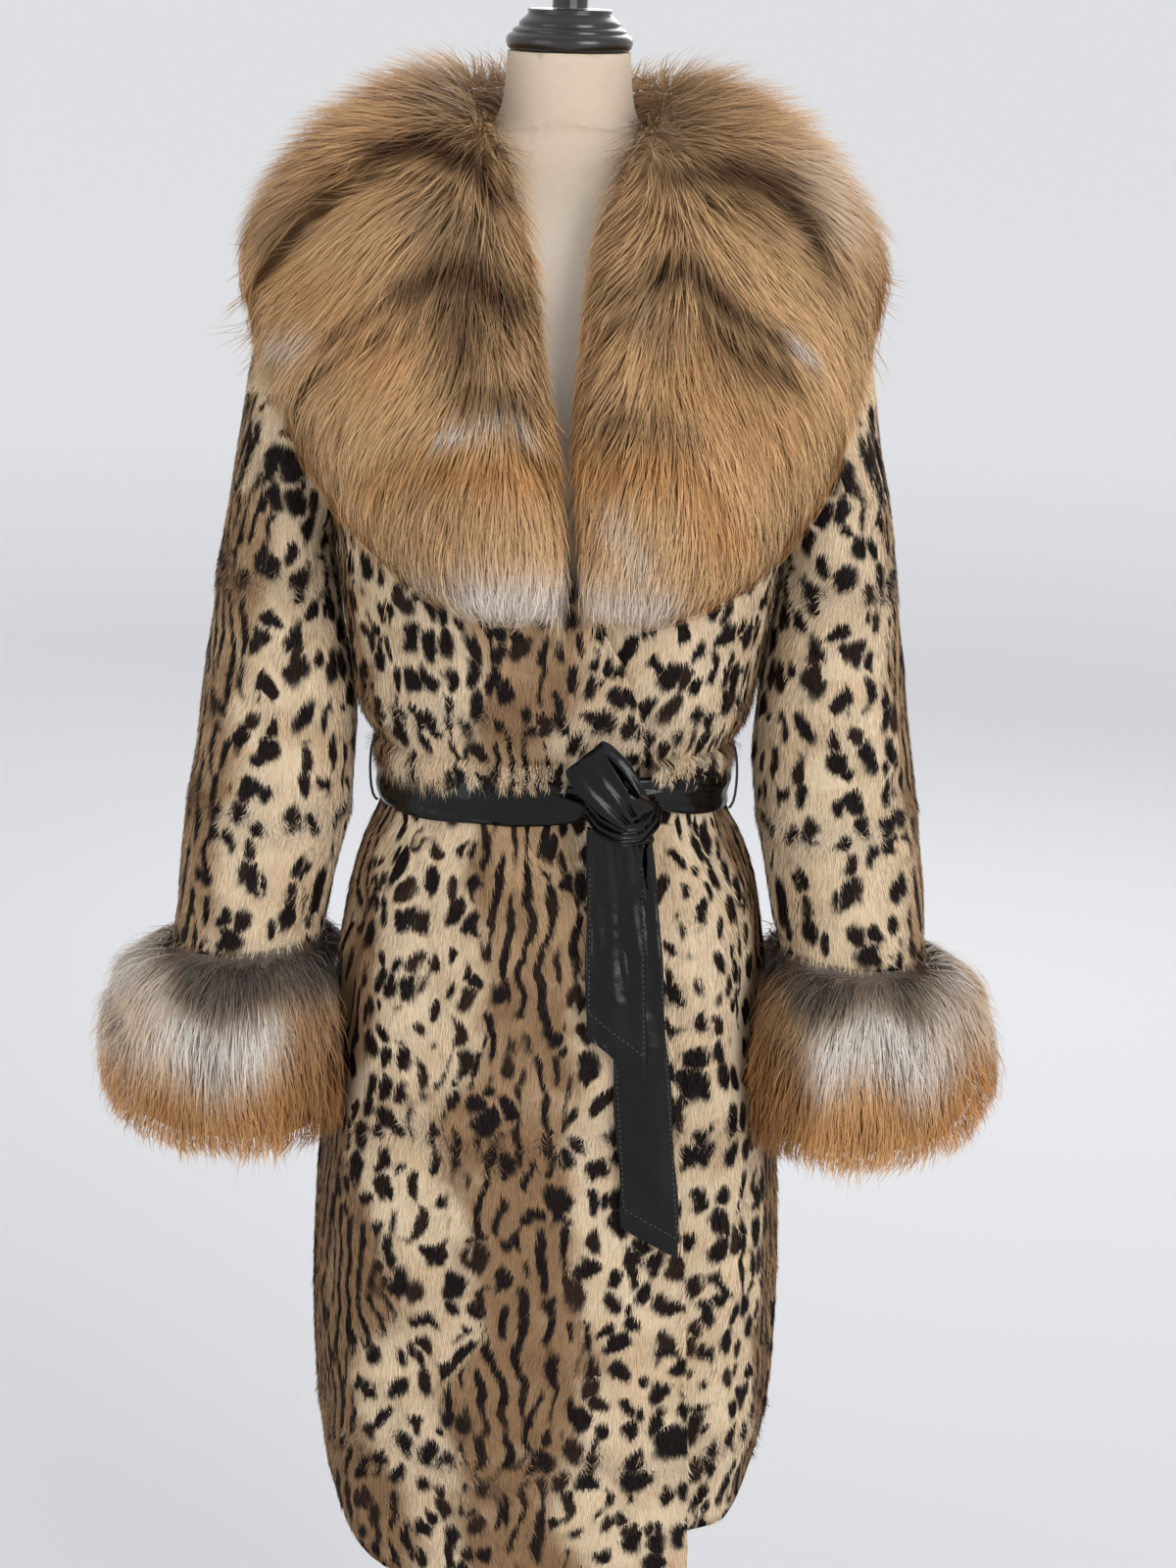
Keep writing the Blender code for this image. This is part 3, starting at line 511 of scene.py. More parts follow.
pelt_print, pelt, take, give = new_group(
    "pelt_print",
    [("Place", "NodeSocketVector")]
    + [(name.title(), "NodeSocketFloat") for name in ZONES],
    [("Colour", "NodeSocketColor")],
)
place = take["Place"]
slow = pelt.noise(place, 24.0)
shift = pelt.vector("SUBTRACT", slow["Color"], (0.5, 0.5, 0.5))
fine = pelt.noise(place, 330.0)["Fac"]
rough = pelt.calc("MULTIPLY", pelt.calc("SUBTRACT", fine, 0.5), ROUGHNESS_OF_EDGES)
bent = pelt.vector("ADD", place, pelt.vector("MULTIPLY", shift, SPOT_BEND))
spots, spot_chance = ovals(pelt, bent, rough=rough, **SPOTS)
elsewhere = pelt.vector("ADD", bent, (3.1, 1.7, 0))
flecks = ovals(pelt, elsewhere, rough=rough, **FLECKS)[0]
spots = pelt.calc("MAXIMUM", spots, flecks)
wander = pelt.vector("ADD", place, pelt.vector("MULTIPLY", shift, BAR_BEND))
streaks = bars(pelt, wander, straight=0.60, cut=0.520, rough=rough, **STREAKS)
curls = bars(pelt, wander, straight=0.30, cut=0.560, rough=rough, **CURLS)
patchy = pelt.noise(pelt.vector("ADD", place, (5.0, 2.0, 0)), 15.0, 1.0)["Fac"]
flank = pelt.mix(pelt.step(patchy, 0.575, 0.60), spots, curls)
mottled = pelt.calc("SUBTRACT", slow["Fac"], 0.5)
striped = pelt.step(pelt.calc("ADD", take["Streak"], mottled), 0.60, 0.68)
striped = pelt.calc("MULTIPLY", striped, pelt.step(patchy, 0.41, 0.45))
marking = pelt.mix(striped, flank, streaks)

# %% Colour the ground and the marks
CREAM = (0.82, 0.655, 0.455, 1)
WARM_CREAM = (0.72, 0.53, 0.335, 1)
TAN = (0.56, 0.375, 0.215, 1)
DEEP_TAN = (0.30, 0.175, 0.090, 1)
SPOT = (0.013, 0.008, 0.007, 1)
BROWN_SPOT = (0.050, 0.026, 0.015, 1)
JOIN_GREY = (0.60, 0.50, 0.39, 1)
JOIN_ON_CREAM = 0.30
JOIN_ON_TAN = 0.80

cloud = pelt.noise(place, 17.0, 3.0)["Fac"]
cream = pelt.blend(pelt.step(cloud, 0.40, 0.72), CREAM, WARM_CREAM)
greyer = pelt.calc("MULTIPLY", take["Join"], JOIN_ON_CREAM)
cream = pelt.blend(greyer, cream, JOIN_GREY)
tan = pelt.blend(pelt.step(cloud, 0.35, 0.68), TAN, DEEP_TAN)
smoky = pelt.calc("MULTIPLY", take["Join"], JOIN_ON_TAN)
tan = pelt.blend(pelt.calc("MAXIMUM", smoky, take["Deep"]), tan, DEEP_TAN)
ragged = pelt.calc("ADD", take["Brown"], pelt.calc("MULTIPLY", mottled, 1.6))
ground = pelt.blend(pelt.step(ragged, 0.05, 0.95), cream, tan)
browner = pelt.calc("MULTIPLY", pelt.step(spot_chance["Blue"], 0.55, 1.0), 0.55)
dark = pelt.blend(browner, SPOT, BROWN_SPOT)
pelt.link(pelt.blend(marking, ground, dark), give["Colour"])
print("print group has", len(pelt_print.nodes), "nodes")

# %% [markdown]
# ## Skin and pile materials
#
# The skin under the pile shows only between the hairs, so it is the same print
# made darker as painted shade between the hairs, with a fine streaky bump. The
# pile wears the print of its root, painted darker at the root as shade deep in
# the pile and lighter at the tip, and each hair is a little lighter or darker
# than the next, which is what makes fur look like fur.

# %% Make the skin and pile materials
HAIR_GLOSS = 0.12


def print_nodes(graph):
    """The place on the cloth and the print's colour there."""
    uv = graph.add("ShaderNodeUVMap", uv_map="cloth").outputs["UV"]
    place = graph.vector("MULTIPLY", uv, (MAP_SIDE, MAP_SIDE, 0))
    feeds = [("Place", place)]
    feeds += [(name.title(), graph.attribute(name)) for name in ZONES]
    made = graph.add("ShaderNodeGroup", feeds, node_tree=pelt_print)
    return place, made.outputs["Colour"]


skin_fur, graph, shader = new_material("skin_fur", roughness=0.9, gloss=0.05)
place, colour = print_nodes(graph)
drawn_out = graph.vector("MULTIPLY", place, (1.0, 0.14, 0))
strands = graph.noise(drawn_out, 900.0, 3.0, 0.7)["Fac"]
# Painted shade: the skin's print is darkened in streaks, for the shade between the
# hairs.
colour = graph.shade(colour, graph.between(strands, 0.62, 1.02))
graph.link(colour, shader["Base Color"])
graph.link(graph.bump(strands, 0.5, 0.0012), shader["Normal"])

pile_fur, graph, shader = new_material("pile_fur", roughness=0.55, gloss=HAIR_GLOSS)
place, colour = print_nodes(graph)
tone = graph.between(graph.attribute("tone"), 0.84, 1.16)
# Painted shade: each hair is darker at its root, for the shade deep in the pile.
painted_root_shade = graph.between(graph.attribute("along"), 0.78, 1.10)
colour = graph.shade(colour, graph.calc("MULTIPLY", tone, painted_root_shade))
graph.link(colour, shader["Base Color"])
print("cloth materials", skin_fur.name, pile_fur.name)

# %% [markdown]
# ## Skins
#
# A panel's skin is a copy of its solid with the loose triangles merged. One
# Subdivision Surface rounds the folds. The outer face then sinks by the height
# of the pile, so that the hair tips end where the solid did, and it gets the
# soft lumps of real fur and the listed creases. A cloth simulation was not
# used: the coat already hangs as shown, and listed troughs stay put.

# %% Copy a solid as clean quads
CRISP_ANGLE = math.radians(50)
CRISP = 0.9


def clean_copy(node, name, levels=1, crisp_over=None):
    """A merged and rounded copy of a node's mesh, with crisp edges over a height."""
    mesh = NODES[node].data.copy()
    mesh.name = name
    mesh.materials.clear()
    shape = bmesh.new()
    shape.from_mesh(mesh)
    bmesh.ops.remove_doubles(shape, verts=shape.verts, dist=1e-5)
    bmesh.ops.join_triangles(
        shape, faces=shape.faces, angle_face_threshold=0.9, angle_shape_threshold=1.4
    )
    if crisp_over is not None:
        crease = shape.edges.layers.float.new("crease_edge")
        for edge in shape.edges:
            high = min(vert.co.z for vert in edge.verts) > crisp_over
            if high and edge.is_manifold and edge.calc_face_angle() > CRISP_ANGLE:
                edge[crease] = CRISP
    shape.to_mesh(mesh)
    shape.free()
    piece = in_scene(name, mesh)
    if levels:
        rounding = piece.modifiers.new("rounding", "SUBSURF")
        rounding.levels = rounding.render_levels = levels
        apply_modifiers(piece)
    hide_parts(node)
    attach(piece, "root")
    return piece


def apply_modifiers(piece):
    """Gives a piece the mesh that its modifiers make."""
    bpy.context.view_layer.update()
    seen = piece.evaluated_get(bpy.context.evaluated_depsgraph_get())
    made = bpy.data.meshes.new_from_object(seen)
    made.name = piece.name
    piece.modifiers.clear()
    piece.data = made
    made.shade_smooth()


def numbers(collection, field, width):
    """One field of every item in a mesh's list, as rows."""
    found = np.zeros(len(collection) * width, np.float32)
    collection.foreach_get(field, found)
    return found.reshape(-1, width).astype(float) if width > 1 else found.astype(float)


def move_points(mesh, points):
    """Moves a mesh's vertices to new places."""
    mesh.vertices.foreach_set("co", points.astype(np.float32).ravel())
    mesh.update()


def give_numbers(mesh, name, values):
    """Stores a number on each vertex."""
    layer = mesh.attributes.new(name, "FLOAT", "POINT")
    layer.data.foreach_set("value", np.asarray(values, np.float32))


def give_map(mesh, places):
    """Stores each vertex's place on the cloth as a map from 0 to 1."""
    corners = np.zeros(len(mesh.loops), np.int32)
    mesh.loops.foreach_get("vertex_index", corners)
    layer = mesh.uv_layers.new(name="cloth")
    layer.data.foreach_set("uv", places[corners].astype(np.float32).ravel())


# %% Sink, lump and crease the skins
PILE_HEIGHT = 0.0035
LUMP_HEIGHT = 0.0030
OUTER_FACING = (0.35, 0.8)
SWELL_RISE, SWELL_FALL = (0.90, 1.02), (1.20, 1.28)
SLEEVE_SWELL, SLEEVE_SIDE = 0.0065, (0.150, 0.200)
BODY_SWELL, BODY_SIDE = 0.0050, (0.125, 0.150)
CREASE_LIP, LIP_AWAY = 0.4, 2.2
CREASES = [  # panel, start, end, depth, half width
    ("sleeve_right", (-0.165, -0.075, 1.060), (-0.262, -0.070, 1.035), 0.006, 0.010),
    ("sleeve_right", (-0.168, -0.070, 0.985), (-0.245, -0.080, 1.010), 0.005, 0.009),
    ("sleeve_right", (-0.190, -0.085, 0.900), (-0.262, -0.070, 0.935), 0.004, 0.009),
    ("sleeve_left", (0.165, -0.075, 1.050), (0.262, -0.070, 1.085), 0.006, 0.010),
    ("sleeve_left", (0.168, -0.070, 1.000), (0.250, -0.080, 0.975), 0.005, 0.009),
    ("sleeve_left", (0.185, -0.085, 0.905), (0.250, -0.080, 0.880), 0.004, 0.008),
    ("sleeve_right", (-0.180, 0.060, 1.050), (-0.255, 0.060, 1.020), 0.006, 0.010),
    ("sleeve_left", (0.180, 0.060, 1.045), (0.255, 0.060, 1.075), 0.006, 0.010),
    ("coat_front_over", (-0.110, -0.100, 0.925), (-0.085, -0.130, 0.780), 0.005, 0.009),
    ("coat_front_over", (-0.045, -0.125, 0.925), (-0.040, -0.140, 0.700), 0.004, 0.008),
    ("coat_front_over", (-0.150, -0.050, 0.925), (-0.160, -0.070, 0.740), 0.005, 0.010),
    ("coat_front_under", (0.110, -0.095, 0.925), (0.125, -0.115, 0.770), 0.005, 0.009),
    ("coat_back", (-0.060, 0.100, 0.925), (-0.070, 0.125, 0.760), 0.005, 0.010),
    ("coat_back", (0.045, 0.105, 0.925), (0.060, 0.130, 0.730), 0.005, 0.010),
    ("coat_back", (0.110, 0.080, 0.985), (0.125, 0.090, 1.080), 0.004, 0.010),
]


def lumps(points):
    """Soft uneven swellings of two sizes, from about -1 to 1."""
    x, y, z = points.T
    broad = np.sin(31 * x + 17 * y + 1.9 * np.sin(19 * z)) * np.sin(
        27 * z + 1.6 * np.sin(21 * x + 2)
    )
    small = np.sin(61 * x + 2.1 * np.sin(37 * z)) * np.sin(53 * z + 83 * y)
    return 0.72 * broad + 0.28 * small


def swell(panel, points):
    """How far the cloth fills out where a sleeve hangs against the body."""
    x, y, z = points.T
    level = ramp(z, *SWELL_RISE) * (1 - ramp(z, *SWELL_FALL))
    if "sleeve" in panel:
        return SLEEVE_SWELL * level * (1 - ramp(np.abs(x), *SLEEVE_SIDE))
    return BODY_SWELL * level * ramp(np.abs(x), *BODY_SIDE)


def crease_depth(panel, points):
    """How far each point of a panel sinks in its creases."""
    depth = np.zeros(len(points))
    for name, start, end, deep, half in CREASES:
        if name != panel:
            continue
        share, gap = line_gap(points, start, end)
        fade = np.sin(np.pi * np.clip(share, 0.04, 0.96))
        depth += deep * fade * np.exp(-((gap / half) ** 2))
        lip = np.exp(-(((gap - LIP_AWAY * half) / half) ** 2))
        depth -= CREASE_LIP * deep * fade * lip
    return depth


def cloth_facts(panel, points):
    """Places, ways out and ways down for points on a panel."""
    if "sleeve" in panel:
        side = -1 if panel.endswith("right") else 1
        return sleeve_place(points, side)
    place, out = body_place(points, panel == "coat_back")
    return place, out, np.tile([0.0, 0.0, -1.0], (len(points), 1))


def map_place(panel, place):
    """A place on the cloth as a map from 0 to 1."""
    start = MAP_START["sleeve" if "sleeve" in panel else "body"]
    shift = (start[0], start[1] + (0.7 if "sleeve" in panel else 0.0))
    return (place + shift) / MAP_SIDE


def make_skin(panel):
    """A panel's skin, sunk, lumped, creased and mapped."""
    piece = clean_copy(panel, panel + "_skin")
    mesh = piece.data
    points = numbers(mesh.vertices, "co", 3)
    normals = numbers(mesh.vertices, "normal", 3)
    place, out, down = cloth_facts(panel, points)
    facing = (normals * out).sum(1)
    outer = ramp(facing, *OUTER_FACING)
    sink = PILE_HEIGHT - LUMP_HEIGHT * lumps(points) + crease_depth(panel, points)
    sink -= swell(panel, points)
    points -= normals * (outer * sink)[:, None]
    move_points(mesh, points)
    give_map(mesh, map_place(panel, place))
    for name, values in zones(panel, place).items():
        give_numbers(mesh, name, values)
    mesh.materials.append(skin_fur)
    return piece


PANELS = (
    "coat_back",
    "coat_front_over",
    "coat_front_under",
    "sleeve_right",
    "sleeve_left",
)
skins = {panel: make_skin(panel) for panel in PANELS}
for panel, piece in skins.items():
    print(piece.name, len(piece.data.polygons), "faces")

# %% [markdown]
# ## Hairs as joined meshes
#
# Real hair curves render well but don't travel: another program would drop
# them. Here each hair is a thin ribbon that narrows to a point, and thousands
# are joined in one mesh from arrays, which takes a second where adding objects
# would take minutes. Short pile needs one triangle a hair; long fur needs a few.

# %% Scatter roots and join ribbons
def triangle_tree(meshes):
    """A search tree over the triangles of several meshes."""
    corners, faces = [], []
    for mesh in meshes:
        base = len(corners)
        corners += [v.co.copy() for v in mesh.vertices]
        faces += [[base + i for i in p.vertices] for p in mesh.polygons]
    return BVHTree.FromPolygons(corners, faces)


def scatter(mesh, count, chance, weigh):
    """Roots spread evenly over a mesh: their points and their normals."""
    mesh.calc_loop_triangles()
    corners = np.zeros(len(mesh.loop_triangles) * 3, np.int32)
    mesh.loop_triangles.foreach_get("vertices", corners)
    corners = corners.reshape(-1, 3)
    points = numbers(mesh.vertices, "co", 3)[corners]
    normals = numbers(mesh.vertices, "normal", 3)[corners]
    area = np.linalg.norm(
        np.cross(points[:, 1] - points[:, 0], points[:, 2] - points[:, 0]), axis=1
    )
    area = area * weigh(points.mean(1), unit(normals.mean(1)))
    picked = chance.choice(len(area), count, p=area / area.sum())
    first, second = chance.random((2, count, 1))
    over = first + second > 1
    first, second = np.where(over, 1 - first, first), np.where(over, 1 - second, second)
    a, b, c = points[picked].transpose(1, 0, 2)
    na, nb, nc = normals[picked].transpose(1, 0, 2)
    roots = a + first * (b - a) + second * (c - a)
    return roots, unit(na + first * (nb - na) + second * (nc - na))


def join_ribbons(name, points, sides, widths, material):
    """One mesh of ribbons, each through its row of points to a sharp tip."""
    count, rows = points.shape[:2]
    taper = np.cos(np.linspace(0, 0.42 * np.pi, rows))[: rows - 1]
    half = sides[:, None] * (widths[:, None] * taper / 2)[..., None]
    pairs = np.stack([points[:, :-1] - half, points[:, :-1] + half], axis=2)
    corners = np.concatenate([pairs.reshape(count, -1, 3), points[:, -1:]], axis=1)
    pattern, starts = [], []
    for row in range(rows - 2):
        starts.append(len(pattern))
        pattern += [2 * row, 2 * row + 1, 2 * row + 3, 2 * row + 2]
    starts.append(len(pattern))
    pattern += [2 * rows - 4, 2 * rows - 3, 2 * rows - 2]
    step = np.arange(count)[:, None]
    loops = (step * (2 * rows - 1) + pattern).ravel()
    mesh = bpy.data.meshes.new(name)
    mesh.vertices.add(corners.shape[0] * corners.shape[1])
    mesh.vertices.foreach_set("co", corners.astype(np.float32).ravel())
    mesh.loops.add(len(loops))
    mesh.loops.foreach_set("vertex_index", loops.astype(np.int32))
    mesh.polygons.add(count * len(starts))
    first = (step * len(pattern) + starts).ravel()
    mesh.polygons.foreach_set("loop_start", first.astype(np.int32))
    mesh.update(calc_edges=True)
    mesh.shade_smooth()
    mesh.materials.append(material)
    give_numbers(mesh, "along", np.tile(spread(np.arange(rows) / (rows - 1)), count))
    piece = in_scene(name, mesh)
    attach(piece, "root")
    return piece


def spread(rows):
    """A value for each row as a value for each corner of a ribbon."""
    return np.concatenate([np.repeat(rows[:-1], 2), rows[-1:]])


def on_corners(values, rows):
    """A value for each hair as a value for each of its corners."""
    return np.repeat(values, 2 * rows - 1)


# %% [markdown]
# ## Short pile
#
# The pile is 10 mm hair that lies down the body and down each sleeve. The roots
# are scattered over the skin's outer face and its hems, and left out where the
# collar, a cuff or the belt covers them, so no hair is spent out of sight. At
# the joins the hair turns every way, and elsewhere it sways slowly.

# %% Grow the pile
PILE_COUNTS = {
    "coat_back": 138000,
    "coat_front_over": 100000,
    "coat_front_under": 66000,
    "sleeve_right": 82000,
    "sleeve_left": 82000,
}
PILE_LENGTH = (0.0080, 0.0118)
PILE_WIDTH = (0.0006, 0.0011)
PILE_LIFT = math.radians(13)
PRINT_DRAG = 0.0055
PRINT_BLUR = 0.0005
COVERS = ("fur_collar", "cuff_right", "cuff_left")
COVER_DEPTH = 0.045
BELT_DEPTH = 0.012
RAY_LIFT = 0.0005
PILE_SWAY = 0.26
PILE_WILD = 0.12
PILE_TWIST = 0.6
PILE_BEND = 0.12
JOIN_WILD = 0.40
JOIN_LIFT = 0.8

cover_tree = triangle_tree([NODES[name].data for name in COVERS])
belt_tree = triangle_tree(
    [NODES[name].data for name in NODES if name.startswith("belt")]
)


def clear_of(tree, points, normals, reach):
    """Which points have no triangle of a tree over them within a reach."""
    clear = np.ones(len(points), bool)
    for i, (point, normal) in enumerate(zip(points.tolist(), normals.tolist())):
        start = Vector(point) + RAY_LIFT * Vector(normal)
        clear[i] = tree.ray_cast(start, normal, reach)[0] is None
    return clear


def sway(points, slow=17.0):
    """A slow turn of the hair's way, from -1 to 1."""
    x, y, z = points.T
    return np.sin(slow * z + 2 * np.sin(13 * x + 5 * y)) * np.cos(
        slow * 1.3 * x + 11 * y + 1.5 * np.sin(9 * z)
    )


def turned_about(vectors, axes, angles):
    """Each vector turned about its axis."""
    cosine, sine = np.cos(angles)[:, None], np.sin(angles)[:, None]
    along_axis = (vectors * axes).sum(1)[:, None] * axes
    return (
        along_axis + (vectors - along_axis) * cosine + np.cross(axes, vectors) * sine
    )


def paint_hairs(piece, panel, roots, drags, rows, chance):
    """Gives each hair the print of its place, and a tone of its own."""
    mesh, count = piece.data, len(roots)
    place = cloth_facts(panel, roots)[0]
    spot = map_place(panel, place)
    spot = spot + chance.normal(0, PRINT_BLUR / MAP_SIDE, spot.shape)
    give_map(mesh, (spot[:, None] + drags / MAP_SIDE).reshape(-1, 2))
    for name, values in zones(panel, place).items():
        give_numbers(mesh, name, on_corners(values, rows))
    clump = 0.5 + 0.22 * sway(roots, 90.0)
    tone = np.clip(clump + 0.18 * chance.standard_normal(count), 0, 1)
    give_numbers(mesh, "tone", on_corners(tone, rows))


def grow_pile(panel, seed):
    """A panel's pile, one triangle a hair."""
    chance = np.random.default_rng(seed)

    def weigh(points, normals):
        out = cloth_facts(panel, points)[1]
        return ((normals * out).sum(1) > -0.25).astype(float)

    mesh = skins[panel].data
    roots, normals = scatter(mesh, PILE_COUNTS[panel], chance, weigh)
    kept = clear_of(cover_tree, roots, normals, COVER_DEPTH)
    kept &= clear_of(belt_tree, roots, normals, BELT_DEPTH)
    roots, normals = roots[kept], normals[kept]
    place, out, down = cloth_facts(panel, roots)
    marks = zones(panel, place)
    count = len(roots)
    way = unit(along_face(down, normals) + 1e-4 * out)
    wild = PILE_WILD + JOIN_WILD * marks["join"]
    angle = PILE_SWAY * sway(roots) + wild * chance.standard_normal(count)
    way = turned_about(way, normals, angle)
    lift = PILE_LIFT * (0.5 + chance.random(count) + JOIN_LIFT * marks["join"])
    heading = way * np.cos(lift)[:, None] + normals * np.sin(lift)[:, None]
    length = chance.uniform(*PILE_LENGTH, count)
    sides = unit(np.cross(normals, heading))
    sides = turned_about(sides, heading, chance.uniform(-PILE_TWIST, PILE_TWIST, count))
    tips = roots + heading * length[:, None] - normals * (PILE_BEND * length)[:, None]
    widths = chance.uniform(*PILE_WIDTH, count)
    piece = join_ribbons(
        panel + "_pile", np.stack([roots, tips], axis=1), sides, widths, pile_fur
    )
    drags = np.array([[-0.0006, 0], [0.0006, 0], [0, -PRINT_DRAG]])
    paint_hairs(piece, panel, roots, drags, 2, chance)
    return piece


piles = [grow_pile(panel, 11 + i) for i, panel in enumerate(PANELS)]
for piece in piles:
    print(piece.name, len(piece.data.polygons), "hairs")

# %% [markdown]
# The belt pulls the coat in, so the hair just above it falls over its upper
# edge. For each of these hairs a ray finds the belt's face, and the hair goes
# out past it and then down.

# %% Drop tufts over the belt
BELT_TOP = 0.9735
TUFT_SPAN = 0.012
TUFT_COUNTS = {"coat_front_over": 3000, "coat_front_under": 1500, "coat_back": 2600}
TUFT_LENGTH = (0.008, 0.014)
TUFT_DROP = [(-0.14, 1.3), (-0.10, 1.9), (-0.06, 1.0), (0.00, 0.8), (0.14, 0.9)]
TUFT_LEAN = 0.22
BOW_SPAN = (0.010, 0.072)
RAY_BELOW_TOP = 0.009
RAY_FROM = 0.05


def grow_tufts(panel, seed):
    """The hair of a panel that falls over the belt."""
    chance = np.random.default_rng(seed)

    def weigh(points, normals):
        x, y, z = points.T
        bow = (x > BOW_SPAN[0]) & (x < BOW_SPAN[1]) & (y < 0)
        outward = (normals * cloth_facts(panel, points)[1]).sum(1) > 0
        return ((z > BELT_TOP) & (z < BELT_TOP + TUFT_SPAN) & ~bow & outward) + 1e-9

    roots, normals = scatter(skins[panel].data, TUFT_COUNTS[panel], chance, weigh)
    out = unit(cloth_facts(panel, roots)[1] * (1, 1, 0))
    starts = roots + RAY_FROM * out
    starts[:, 2] = BELT_TOP - RAY_BELOW_TOP
    reach = []
    for start, way in zip(starts.tolist(), (-out).tolist()):
        gap = belt_tree.ray_cast(start, way, RAY_FROM + 0.01)[3]
        reach.append(-1 if gap is None else RAY_FROM - gap)
    reach = np.array(reach)
    kept = reach > -0.001
    roots, out, reach = roots[kept], out[kept], reach[kept][:, None]
    count = len(roots)
    length = chance.uniform(*TUFT_LENGTH, (count, 1))
    drop = np.interp(roots[:, 0], *np.array(TUFT_DROP).T)
    length = length * (drop * (1 + 0.35 * sway(roots, 70.0)))[:, None]
    lean = chance.normal(0, TUFT_LEAN, (count, 1)) * np.cross(out, (0, 0, 1))
    down = unit(lean + (0, 0, -1))
    over = reach + chance.uniform(0.0012, 0.0040, (count, 1))
    middle = roots + out * over + down * 0.42 * length
    tips = roots + out * (over - 0.0008) + down * length
    points = np.stack([roots - 0.002 * out, middle, tips], axis=1)
    widths = chance.uniform(0.0004, 0.0008, count)
    name = panel + "_tufts"
    piece = join_ribbons(name, points, np.cross(out, down), widths, pile_fur)
    drags = np.array([[0, 0], [0, 0], [0, -0.005], [0, -0.005], [0, -0.012]])
    paint_hairs(piece, panel, roots, drags, 3, chance)
    return piece


tufts = [grow_tufts(panel, 31 + i) for i, panel in enumerate(TUFT_COUNTS)]
print("tufts", [len(piece.data.polygons) for piece in tufts])

# %% [markdown]
# ## Long fur: colours
#
# The collar and cuffs are fox: gold with darker roots, black-brown bars, rust,
# grey and silver. Each hair carries how much of each colour it has, and one
# node group turns those shares into a colour from root to tip. The under-fur
# uses the same group, so that no gap shows another colour.

# %% Make the fox colours
FOX_COLOURS = {  # share: root colour, tip colour
    "Rust": ((0.300, 0.130, 0.045, 1), (0.580, 0.285, 0.100, 1)),
    "Pale": ((0.460, 0.410, 0.350, 1), (0.820, 0.780, 0.725, 1)),
    "Grey": ((0.045, 0.038, 0.034, 1), (0.150, 0.128, 0.112, 1)),
    "Dark": ((0.030, 0.013, 0.007, 1), (0.080, 0.034, 0.015, 1)),
}
GOLD = ((0.330, 0.190, 0.088, 1), (0.680, 0.430, 0.215, 1))
FOX_INPUTS = ("Along", "Tone", *FOX_COLOURS)

fox_tint, fox, take, give = new_group(
    "fox_tint",
    [(label, "NodeSocketFloat") for label in FOX_INPUTS],
    [("Colour", "NodeSocketColor")],
)
ripe = fox.step(take["Along"], 0.0, 0.85)
colour = fox.blend(ripe, *GOLD)
for label, root_and_tip in FOX_COLOURS.items():
    colour = fox.blend(take[label], colour, fox.blend(ripe, *root_and_tip))
colour = fox.shade(colour, fox.between(take["Tone"], 0.66, 1.30))
fox.link(colour, give["Colour"])


def fox_material(name, roughness):
    """A fox fur finish that reads the shares each hair carries."""
    material, graph, shader = new_material(name, roughness=roughness, gloss=HAIR_GLOSS)
    feeds = [(label, graph.attribute(label.lower())) for label in FOX_INPUTS]
    made = graph.add("ShaderNodeGroup", feeds, node_tree=fox_tint)
    graph.link(made.outputs["Colour"], shader["Base Color"])
    return material, graph, shader


fox_hair = fox_material("fox_hair", 0.45)[0]
fox_under, graph, shader = fox_material("fox_under", 0.9)
fuzz = graph.noise(graph.place(), 420.0, 3.0, 0.7)["Fac"]
graph.link(graph.bump(fuzz, 0.7, 0.002), shader["Normal"])
print("fox materials", fox_hair.name, fox_under.name)
